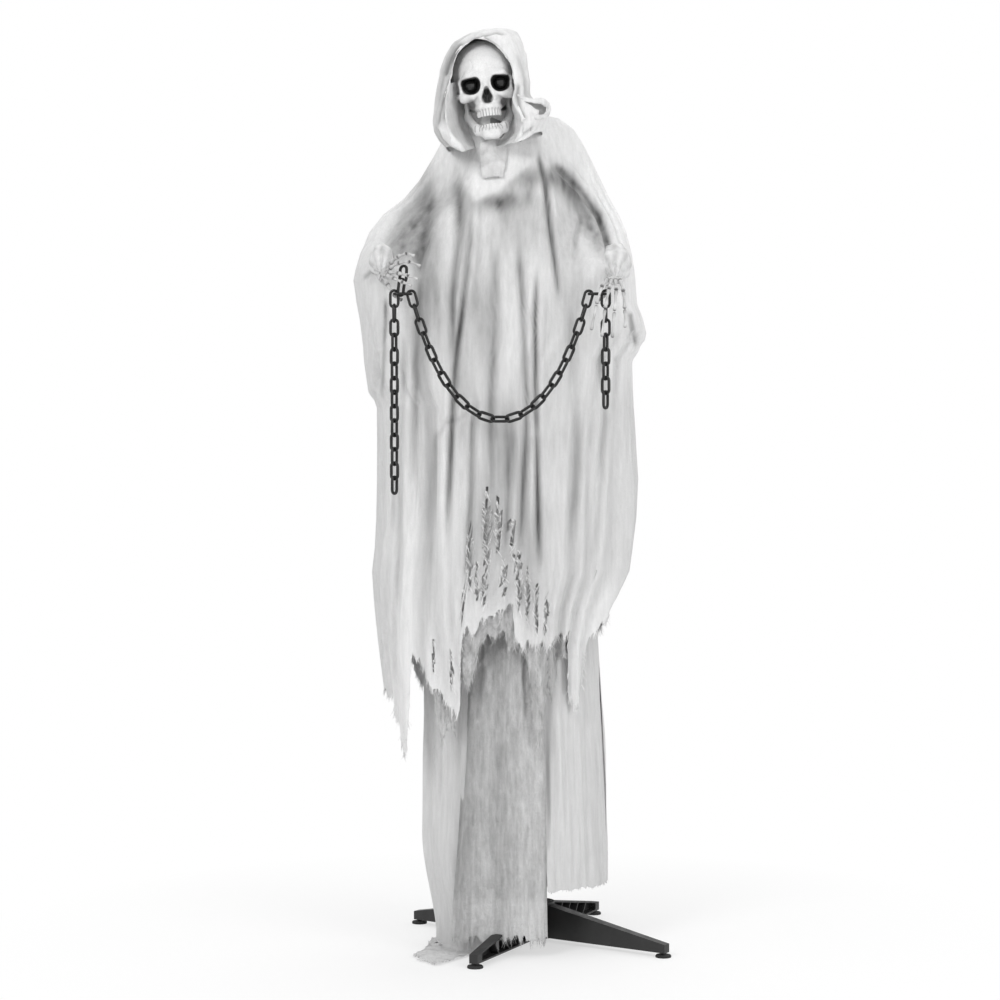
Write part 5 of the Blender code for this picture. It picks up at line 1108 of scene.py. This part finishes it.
def pebble(centre, radii):
    """A small carpal bone."""
    work = bmesh.new()
    bmesh.ops.create_icosphere(work, subdivisions=2, radius=1.0)
    points = np.array([v.co for v in work.verts]) * radii
    points = points * (1 + 0.12 * noise(points * 300 + np.asarray(centre) * 90, 7))[:, None] + centre
    faces = [[v.index for v in f.verts] for f in work.faces]
    work.free()
    return points, faces, np.full(len(points), 0.85)


def gather(pieces):
    """One list of points and faces from several pieces' points, faces and whatever follows them."""
    points, faces, base = [], [], 0
    for some, quads, *_ in pieces:
        points.append(np.asarray(some))
        faces += [[i + base for i in face] for face in quads]
        base += len(some)
    return np.concatenate(points), faces


def forearm(side):
    """The wrist, and the direction from the elbow to it."""
    wrist = np.array(WRISTS[side])
    along = wrist - np.array(ELBOWS[side])
    return wrist, along / np.linalg.norm(along)


def grip_place(side):
    """Where a hand holds the chain."""
    return np.array((side * GRIP[0], GRIP[1], GRIP[2]))


def build_hand(side):
    """A bony hand: four fingers, their palm bones, the wrist's small bones and the thumb on the chain."""
    wrist, toward = forearm(side)
    pieces = []
    for digit in DIGITS[side]:
        joints = wrist + np.array(digit) * HAND_SIZE
        root = wrist + toward * 0.012 + (joints[0] - wrist) * 0.22
        pieces.append(bone_piece(root, joints[0], 0.0040))
        for i, radius in enumerate((0.0036, 0.0032, 0.0028)):
            gap = (joints[i + 1] - joints[i]) * 0.02
            pieces.append(bone_piece(joints[i] + gap, joints[i + 1] - gap, radius))
        pieces.append(pebble(root, (0.0052, 0.0052, 0.0046)))
        pieces.append(pebble(wrist + toward * 0.004 + (joints[0] - wrist) * 0.10, (0.0062, 0.0056, 0.0050)))
    base = wrist + np.array(THUMBS[side]) * HAND_SIZE
    hold = grip_place(side) + (side * 0.002, 0.002, -0.0115)
    middle = (base + hold) / 2 + (0, -0.003, -0.006)
    pieces += [bone_piece(wrist + toward * 0.006, base, 0.0042), bone_piece(base, middle, 0.0038)]
    pieces.append(bone_piece(middle, hold, 0.0032))
    points, faces = gather(pieces)
    points = points + 0.0003 * rough(points * 420, 240)[:, None]
    # Grey wash and painted shade toward the ends of each bone, where the bones meet.
    dimming = np.concatenate([piece[2] for piece in pieces])
    shade = dimming * (0.60 - 0.10 * rough(points * 120, 243) - 0.16 * np.clip(noise(points * 60, 247), 0, 1))
    word = SIDE_WORDS[side]
    hand = make(f"{word}_bones", points, faces, BONE, np.clip(shade, 0.05, 0.82))
    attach(hand, f"{word}_arm")
    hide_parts(f"{word}_hand")


for side in (-1, 1):
    build_hand(side)


# Chain: the same links as the solid runs, smooth and oval.
LINK_LENGTH = 0.0375
LINK_WIDTH = 0.0205
WIRE = 0.0056
WIRE_SIDES = 10
FUSE = 0.0010
SEAT = 0.0004
LINK_END = LINK_LENGTH / 2 - WIRE / 2
PITCH = LINK_LENGTH - 2 * WIRE + FUSE
CORNER_WIRE = WIRE / 2 / math.cos(math.pi / 6)
DROP_GAP = 0.0006
HOOK = WIRE + SEAT - (LINK_END - PITCH / 2)
DROP_HOOK = HOOK + CORNER_WIRE - WIRE / 2
SWAG_LINKS, LEFT_UPPER, LEFT_LOWER, RIGHT_DROP = 23, 7, 7, 8
LINK_ROLL = math.radians(34)
# The links gathered in the left palm, from its grip link: place, run and facing.
PALM_LINKS = (((-0.003, 0.003, 0.0125), (0.12, 0.0, 1.0), (0.75, -0.66, -0.09)),
              ((0.001, 0.004, 0.0375), (0.05, 0.1, 1.0), (0.55, 0.83, -0.08)))


def link_piece(centre, along, normal):
    """One oval link with a slightly flattened wire, as moulded."""
    along, normal = np.asarray(along, float), np.asarray(normal, float)
    along, normal = along / np.linalg.norm(along), normal / np.linalg.norm(normal)
    across = np.cross(normal, along)
    radius = (LINK_WIDTH - WIRE) / 2
    straight = LINK_END - radius
    route = []
    for end in (1, -1):
        for turn in np.linspace(-math.pi / 2, math.pi / 2, 9):
            route.append((end * (straight + radius * math.cos(turn)), end * radius * math.sin(turn)))
    route = np.array(route)
    ahead = np.roll(route, -1, axis=0) - np.roll(route, 1, axis=0)
    ahead /= np.linalg.norm(ahead, axis=1, keepdims=True)
    out = np.stack([ahead[:, 1], -ahead[:, 0]], axis=1)
    turn = np.linspace(0, 2 * math.pi, WIRE_SIDES, endpoint=False)
    swell = WIRE / 2 * (1.0 - 0.06 * np.cos(4 * turn))
    flat = route[:, None, :] + out[:, None, :] * (np.cos(turn) * swell)[None, :, None]
    lift = np.broadcast_to(np.sin(turn) * swell, flat.shape[:2])
    points = np.asarray(centre) + flat[..., :1] * along + flat[..., 1:] * across + lift[..., None] * normal
    faces = grid_faces(len(route) + 1, WIRE_SIDES, wrap=True) % (len(route) * WIRE_SIDES)
    return points.reshape(-1, 3), faces.tolist()


def run_of_links(start, directions, sideways, rolls):
    """Links that follow directions, each turned about its run by its own share of LINK_ROLL."""
    place, pieces = np.asarray(start, float), []
    for i, (direction, roll) in enumerate(zip(directions, rolls)):
        upright = np.cross(direction, sideways)
        angle = LINK_ROLL * roll
        normal = (sideways, upright)[i % 2] * math.cos(angle) + (upright, -sideways)[i % 2] * math.sin(angle)
        pieces.append(link_piece(place + direction * PITCH / 2, direction, normal))
        place = place + direction * PITCH
    return pieces


def hanging_directions(count, span):
    """The runs of links that hang freely between two ends this far apart."""
    low, high = 0.01, 100.0
    for _ in range(60):
        pull = (low + high) / 2
        turns = [math.atan((i - (count - 1) / 2) / pull) for i in range(count)]
        reach = sum(math.cos(turn) for turn in turns) * PITCH - 2 * HOOK * math.cos(turns[0])
        low, high = (pull, high) if reach < span else (low, pull)
    return [np.array((math.cos(turn), 0, math.sin(turn))) for turn in turns]


def build_chain():
    """The four runs of links and the links that the hands hold."""
    left, right = grip_place(-1), grip_place(1)
    sideways, level, down = np.array((1.0, 0, 0)), np.array((0, 1.0, 0)), np.array((0, 0, -1.0))
    directions = hanging_directions(SWAG_LINKS, 2 * (GRIP[0] - LINK_END))
    start = left + (LINK_END, 0, 0) - directions[0] * HOOK
    left_top = left - (LINK_END, 0, 0) - down * DROP_HOOK
    left_lower = left_top + down * (LEFT_UPPER * PITCH - FUSE - DROP_GAP)
    right_top = right + (LINK_END, 0, 0) - down * DROP_HOOK
    ease = np.clip(np.arange(SWAG_LINKS) / 4, 0, 1)
    held = ((0, 0, 0), (1, 0, 0), (0, 0, 1))
    runs = (
        ("swag_links", "swag", "chain_swag",
         run_of_links(start, directions, level, np.minimum(ease, ease[::-1]))),
        ("left_upper_links", "left_drop_upper", "chain_left_upper",
         run_of_links(left_top, [down] * LEFT_UPPER, level, ease)),
        ("left_lower_links", "left_drop_lower", "chain_left_lower",
         run_of_links(left_lower, [down] * LEFT_LOWER, sideways, np.ones(LEFT_LOWER))),
        ("right_links", "right_drop", "chain_right",
         run_of_links(right_top, [down] * RIGHT_DROP, level, ease)),
        ("left_grip_link_oval", "left_arm", "left_grip_link",
         [link_piece(left + step, along, facing) for step, along, facing in (held, *PALM_LINKS)]),
        ("right_grip_link_oval", "right_arm", "right_grip_link", [link_piece(right + held[0], *held[1:])]),
    )
    for name, body, node, pieces in runs:
        points, faces = gather(pieces)
        made = make(name, points, faces, CHAIN)
        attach(made, body)
        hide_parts(node)


build_chain()


# Cuffs: short frilled tubes of gauze from inside the sleeves to the wrists, where they close.
CUFF_START = -0.165
CUFF_LENGTH = 0.181
CUFF_WIDEST = {-1: 0.025, 1: 0.031}
CUFF_COLUMNS, CUFF_ROWS = 72, 34


def build_cuff(side):
    """One cuff, its rows at a reach past the wrist."""
    wrist, along = forearm(side)
    across = np.cross(along, (0, 0, 1.0))
    across /= np.linalg.norm(across)
    up = np.cross(across, along)
    turns = np.linspace(0, 2 * math.pi, CUFF_COLUMNS, endpoint=False)
    turn, share = np.meshgrid(turns, np.linspace(0, 1, CUFF_ROWS))
    reach = CUFF_START + CUFF_LENGTH * share
    wide = CUFF_WIDEST[side]
    radius = 0.020 + (wide - 0.020) * smooth(-0.150, -0.050, reach)
    radius = radius - (wide - 0.013) * smooth(-0.045, -0.004, reach)
    frill = np.sin(turn * 9 + 2 * noise(xyz(share * 3, turn), 253))
    radius = radius + 0.0030 * frill * (0.15 + 0.5 * share)
    radius = radius * (1 - 0.72 * smooth(0.004, 0.016, reach))
    reach = reach + 0.006 * rough(xyz(turn * 2, share * 3), 251) * share
    sag = -0.010 * np.clip(-np.sin(turn), 0, 1) * share * smooth(1.0, 0.85, share)
    points = wrist + along * reach[..., None] + across * (np.cos(turn) * radius)[..., None]
    points = points + up * (np.sin(turn) * radius)[..., None]
    points[..., 2] += sag
    # Painted shade in stripes that follow the frill's pleats.
    shade = np.clip(0.78 - 0.16 * rough(points * 70, 255) - 0.10 * np.sin(turn * 9), 0.3, 1)
    faces = grid_faces(CUFF_ROWS, CUFF_COLUMNS, wrap=True)
    cuff = make(f"{SIDE_WORDS[side]}_cuff", points, faces, HOOD_GAUZE, shade)
    body = f"{SIDE_WORDS[side]}_arm"
    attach(cuff, body)


for side in (-1, 1):
    build_cuff(side)


# Skirt panels: name, node, angles round the hoop in degrees, cloth length and width, lift off the hoop, hem
# raggedness, longest thread, finish.
HOOP = np.array((0.025, -0.010))
HOOP_HALF = np.array((0.140, 0.110))
SKIRT_TOP = 0.962
FLOOR = 0.0030
SKIRT_PANELS = (
    ("left_panel", "skirt_left", (-196, -112), 1.105, 0.27, 0.004, 0.006, 0.014, SKIRT_GAUZE),
    ("centre_panel", "skirt_centre", (-122, -70), 0.925, 0.22, 0.010, 0.008, 0.018, GREY_GAUZE),
    ("right_panel", "skirt_right", (-70, -2), 0.836, 0.24, 0.006, 0.002, 0.005, SKIRT_GAUZE),
    ("back_panel", "skirt_back", (-8, 172), 0.880, 0.56, 0.000, 0.006, 0.012, SKIRT_GAUZE),
)
SKIRT_ROWS = 200
COLUMNS_PER_DEGREE = 1.5
SKIRT_BOTTOM_FLARE = 0.046
# Darker streaks down the centre panel: pixel column, half width, darkening.
CENTRE_STREAKS = ((470, 9, 0.18), (500, 7, 0.10), (547, 3, 0.30))


def skirt_surface(turns, length, lift, ragged, seed):
    """A panel hung from the hoop, its folds, how far down each point is, and its number of columns."""
    columns = int((turns[1] - turns[0]) * COLUMNS_PER_DEGREE)
    turn, share = np.meshgrid(np.radians(np.linspace(*turns, columns)), np.linspace(0, 1, SKIRT_ROWS))
    jag = ragged * rough(xyz(turn * 26), seed, 2)
    run = (length + jag) * share
    fall = np.minimum(run, SKIRT_TOP - FLOOR)
    rest = (run - fall) * smooth(math.radians(-124), math.radians(-142), turn)
    rest = rest * smooth(math.radians(-192), math.radians(-168), turn)
    down = fall / SKIRT_TOP
    wave = rough(xyz(np.cos(turn) * 5.5, np.sin(turn) * 5.5, down * 1.6), seed + 3, 3)
    reach = 0.006 + SKIRT_BOTTOM_FLARE * down + wave * 0.013 * smooth(0, 0.35, down) + lift
    x = HOOP[0] + (HOOP_HALF[0] + reach) * np.cos(turn)
    y = HOOP[1] + (HOOP_HALF[1] + reach) * np.sin(turn)
    points = xyz(x - rest * 0.30, y - rest * 0.95, SKIRT_TOP - fall)
    points[..., 2] += 0.006 * np.abs(noise(points * 60, seed + 9)) * smooth(0, 0.03, rest)
    return points, wave, down, columns


def build_skirts():
    """The four panels with their tones and threads. The left and back ones are drawn in toward the floor."""
    for i, row in enumerate(SKIRT_PANELS):
        name, node, turns, length, width, lift, ragged, longest, finish = row
        points, wave, down, columns = skirt_surface(turns, length, lift, ragged, 300 + 20 * i)
        if node in ("skirt_left", "skirt_back"):
            drawn_in = 0.014 * smooth(0.3, 0.8, down) + 0.034 * smooth(0.76, 1.0, down)
            points[..., 0] += drawn_in * (smooth(-0.02, -0.12, points[..., 0]) if node == "skirt_back" else 1)
        if node == "skirt_back":
            points[..., 2] += 0.075 * (SKIRT_TOP - points[..., 2]) * smooth(0.09, 0.16, points[..., 0])
        px, py = pixels(points)
        if node == "skirt_centre":
            points[..., 0] -= 0.016 * smooth(0.35, 1.0, down) * smooth(505, 460, px)
            points[..., 1] -= 0.004 * np.abs(rough(points * (55, 20, 40), 320))
            tone = 0.88 - 0.13 * smooth(524, 514, px) + 0.07 * rough(points * (60, 60, 22), 322)
            tone = tone + 0.16 * smooth(896, 908, py) + 0.07 * noise(points * (150, 150, 90), 324)
            for middle, half, depth in CENTRE_STREAKS:
                tone = tone - depth * hill(px - middle, half)
        else:
            tone = (0.79 if node == "skirt_right" else 0.82) + 0.04 * rough(points * (26, 26, 7), 330 + i)
            tone = tone - 0.16 * hill(px - 462, 10) * smooth(0.2, 0.9, down) * (points[..., 1] < 0)
        # Painted shade: darker in the fold valleys and toward the top, under the robe.
        tone = tone - 0.16 * np.clip(-wave, 0, 1) - 0.18 * smooth(0.45, 0.25, down)
        panel = make(name, points, grid_faces(SKIRT_ROWS, columns), finish, np.clip(tone, 0.1, 1))
        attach(panel, "stand")
        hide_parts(node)
        threads = fringe(name + "_fringe", points[-1], longest, 1.6, finish, 400 + i)


def ribbon(route, across, wide):
    """A thin flat thread along a route: its points and faces."""
    count = len(route)
    faces = [[j, j + 1, j + count + 1, j + count] for j in range(count - 1)]
    return np.concatenate([route + across * wide, route - across * wide]), faces


def fringe(name, edge, longest, every, finish, seed):
    """Loose threads that hang from a torn edge, as thin twisted ribbons."""
    rng = np.random.default_rng(seed)
    pieces = []
    steps = np.linalg.norm(np.diff(edge, axis=0), axis=1)
    count = int(steps.sum() / 0.0035 * every)
    for place in np.sort(rng.uniform(0, len(edge) - 1.001, count)):
        i = int(place)
        start = edge[i] + (edge[i + 1] - edge[i]) * (place - i)
        if steps[i] > 0.05:
            continue
        length = longest * rng.uniform(0.25, 1.0) ** 1.6
        lean = rng.normal(0, 0.22, 2)
        bend = rng.normal(0, 0.12, 2)
        t = np.linspace(-0.12, 1, 6)
        x = start[0] + (lean[0] * t + bend[0] * t ** 2) * length
        y = start[1] + (lean[1] * t + bend[1] * t ** 2) * length * 0.5
        z = np.maximum(start[2] - t * length, 0.0025)
        wide = rng.uniform(0.0004, 0.0010) * np.linspace(1, 0.4, 6)[:, None]
        across = np.array((math.cos(i * 0.7), math.sin(i * 0.7) * 0.4, 0.15))
        pieces.append(ribbon(xyz(x, y, z), across, wide))
    points, faces = gather(pieces)
    shade = np.clip(0.92 - 0.2 * noise(points * 50, seed), 0.3, 1)
    made = make(name, points, faces, finish, shade)
    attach(made, "stand")
    return made


def tear_fuzz():
    """Short frayed threads that cross from the edges of the robe's tears."""
    rng = np.random.default_rng(470)
    route = []
    turns = np.linspace(0.15 * math.pi, 0.85 * math.pi, 280)
    for middle, half, top, bottom in TEARS:
        for side in (-1, 1):
            for share in rng.uniform(0.03, 1.0, int((bottom - top) * 0.55)):
                height = front_height(top + (bottom - top) * share)
                edge = middle + side * half * math.sin(math.pi * min(max(share, 0.02), 0.98)) ** 0.6
                route.append((edge + rng.normal(0, 0.6), height, side))
    heights = np.array([r[1] for r in route])
    grid, _ = hang(np.broadcast_to(turns, (len(route), len(turns))), heights[:, None] + 0 * turns)
    px, _ = pixels(grid)
    pieces = []
    for row, (edge, _, side) in enumerate(route):
        start = grid[row, np.argmin(np.abs(px[row] - edge) + 99 * (grid[row, :, 1] > -0.1))]
        length = rng.uniform(0.004, 0.013)
        lean = np.array((-side * rng.uniform(0.1, 1.0), -rng.uniform(0.0, 0.5), -rng.uniform(0.2, 1.0)))
        t = np.linspace(0, 1, 5)[:, None]
        line = start + (0, -0.001, 0) + lean * t * length + np.array((0, 0, -0.4)) * t ** 2 * length
        wide = rng.uniform(0.0004, 0.0009) * (1 - 0.5 * t)
        across = np.array((0.8, 0.2, 0.5)) if row % 2 else np.array((0.3, 0.3, 0.9))
        pieces.append(ribbon(line, across, wide))
    points, faces = gather(pieces)
    shade = np.clip(0.95 - 0.15 * noise(points * 70, 471), 0.4, 1)
    made = make("tear_fringe", points, faces, GAUZE, shade)
    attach(made, "stand")
    return made


build_skirts()
under, under_hem = build_under()
robe_threads = fringe("robe_fringe", np.concatenate([robe_hem, robe_hem[:1]]), 0.016, 2.4, GAUZE, 450)
tear_threads = tear_fuzz()
under_threads = fringe("under_fringe", under_hem, 0.016, 2.4, GREY_GAUZE, 455)


# Camera, floor and light

def seen_as(tree, *kinds):
    """1 for rays of these kinds, 0 for others."""
    path = tree.nodes.new("ShaderNodeLightPath")
    seen = path.outputs[f"Is {kinds[0]} Ray"]
    for kind in kinds[1:]:
        seen = maths(tree, "MAXIMUM", seen, path.outputs[f"Is {kind} Ray"])
    return seen


def build_camera():
    """The photograph's camera."""
    camera = add("camera", bpy.data.cameras.new("camera"))
    camera.data.sensor_width = SENSOR
    camera.data.lens = SENSOR * LENS_PIXELS / (2 * MIDDLE)
    camera.location = (FIGURE_X, CAMERA_Y, CAMERA_Z)
    camera.rotation_euler = (CAMERA_TILT, 0, 0)
    bpy.context.scene.camera = camera
    bpy.context.scene.view_settings.view_transform = "Standard"


def build_floor():
    """A pale floor that glows white away from the figure, so that no horizon shows."""
    floor_finish = bpy.data.materials.new("floor")
    floor_finish.use_nodes = True
    tree = floor_finish.node_tree
    surface = tree.nodes["Principled BSDF"]
    surface.inputs["Base Color"].default_value = (0.92, 0.92, 0.92, 1)
    surface.inputs["Roughness"].default_value = 0.9
    place = tree.nodes.new("ShaderNodeTexCoord").outputs["Object"]
    distance = tree.nodes.new("ShaderNodeVectorMath")
    distance.operation = "LENGTH"
    tree.links.new(place, distance.inputs[0])
    far = remap(tree, distance.outputs["Value"], 0.35, 1.1, FLOOR_GLOW, 1.0)
    glow = tree.nodes.new("ShaderNodeEmission")
    mix = tree.nodes.new("ShaderNodeMixShader")
    tree.links.new(maths(tree, "MULTIPLY", far, seen_as(tree, "Camera", "Glossy")), mix.inputs["Fac"])
    tree.links.new(surface.outputs["BSDF"], mix.inputs[1])
    tree.links.new(glow.outputs["Emission"], mix.inputs[2])
    tree.links.new(mix.outputs["Shader"], tree.nodes["Material Output"].inputs["Surface"])
    work = bmesh.new()
    bmesh.ops.create_grid(work, x_segments=1, y_segments=1, size=9)
    mesh = bpy.data.meshes.new("floor")
    work.to_mesh(mesh)
    work.free()
    mesh.materials.append(floor_finish)
    floor = add("floor", mesh)
    floor.location.z = cad_box[0][2]


def build_lights():
    """A white world that lights less than it shows, and three soft lamps aimed at the figure's middle."""
    world = bpy.data.worlds.new("world")
    bpy.context.scene.world = world
    world.use_nodes = True
    tree = world.node_tree
    background = tree.nodes["Background"]
    strength = remap(tree, seen_as(tree, "Camera", "Glossy", "Transmission"), 0, 1, WORLD_LIGHT, 1.0)
    tree.links.new(strength, background.inputs["Strength"])
    background.inputs["Color"].default_value = (1, 1, 1, 1)
    for name, place, size, power in LAMPS:
        lamp = bpy.data.lights.new(name, "AREA")
        lamp.shape = "DISK"
        lamp.size = size
        lamp.energy = power
        thing = add(name, lamp)
        thing.location = place
        aim = Vector((FIGURE_X, 0, 1.0)) - thing.location
        thing.rotation_euler = aim.to_track_quat("-Z", "Y").to_euler()


WORLD_LIGHT = 0.60
FLOOR_GLOW = 0.55
# Lamps: name, place, size, power.
LAMPS = (
    ("key", (-2.2, -3.2, 3.2), 1.6, 74),
    ("fill", (2.8, -2.8, 2.0), 2.2, 56),
    ("top", (0.3, 1.4, 3.6), 2.0, 26),
)
build_camera()
build_floor()
build_lights()
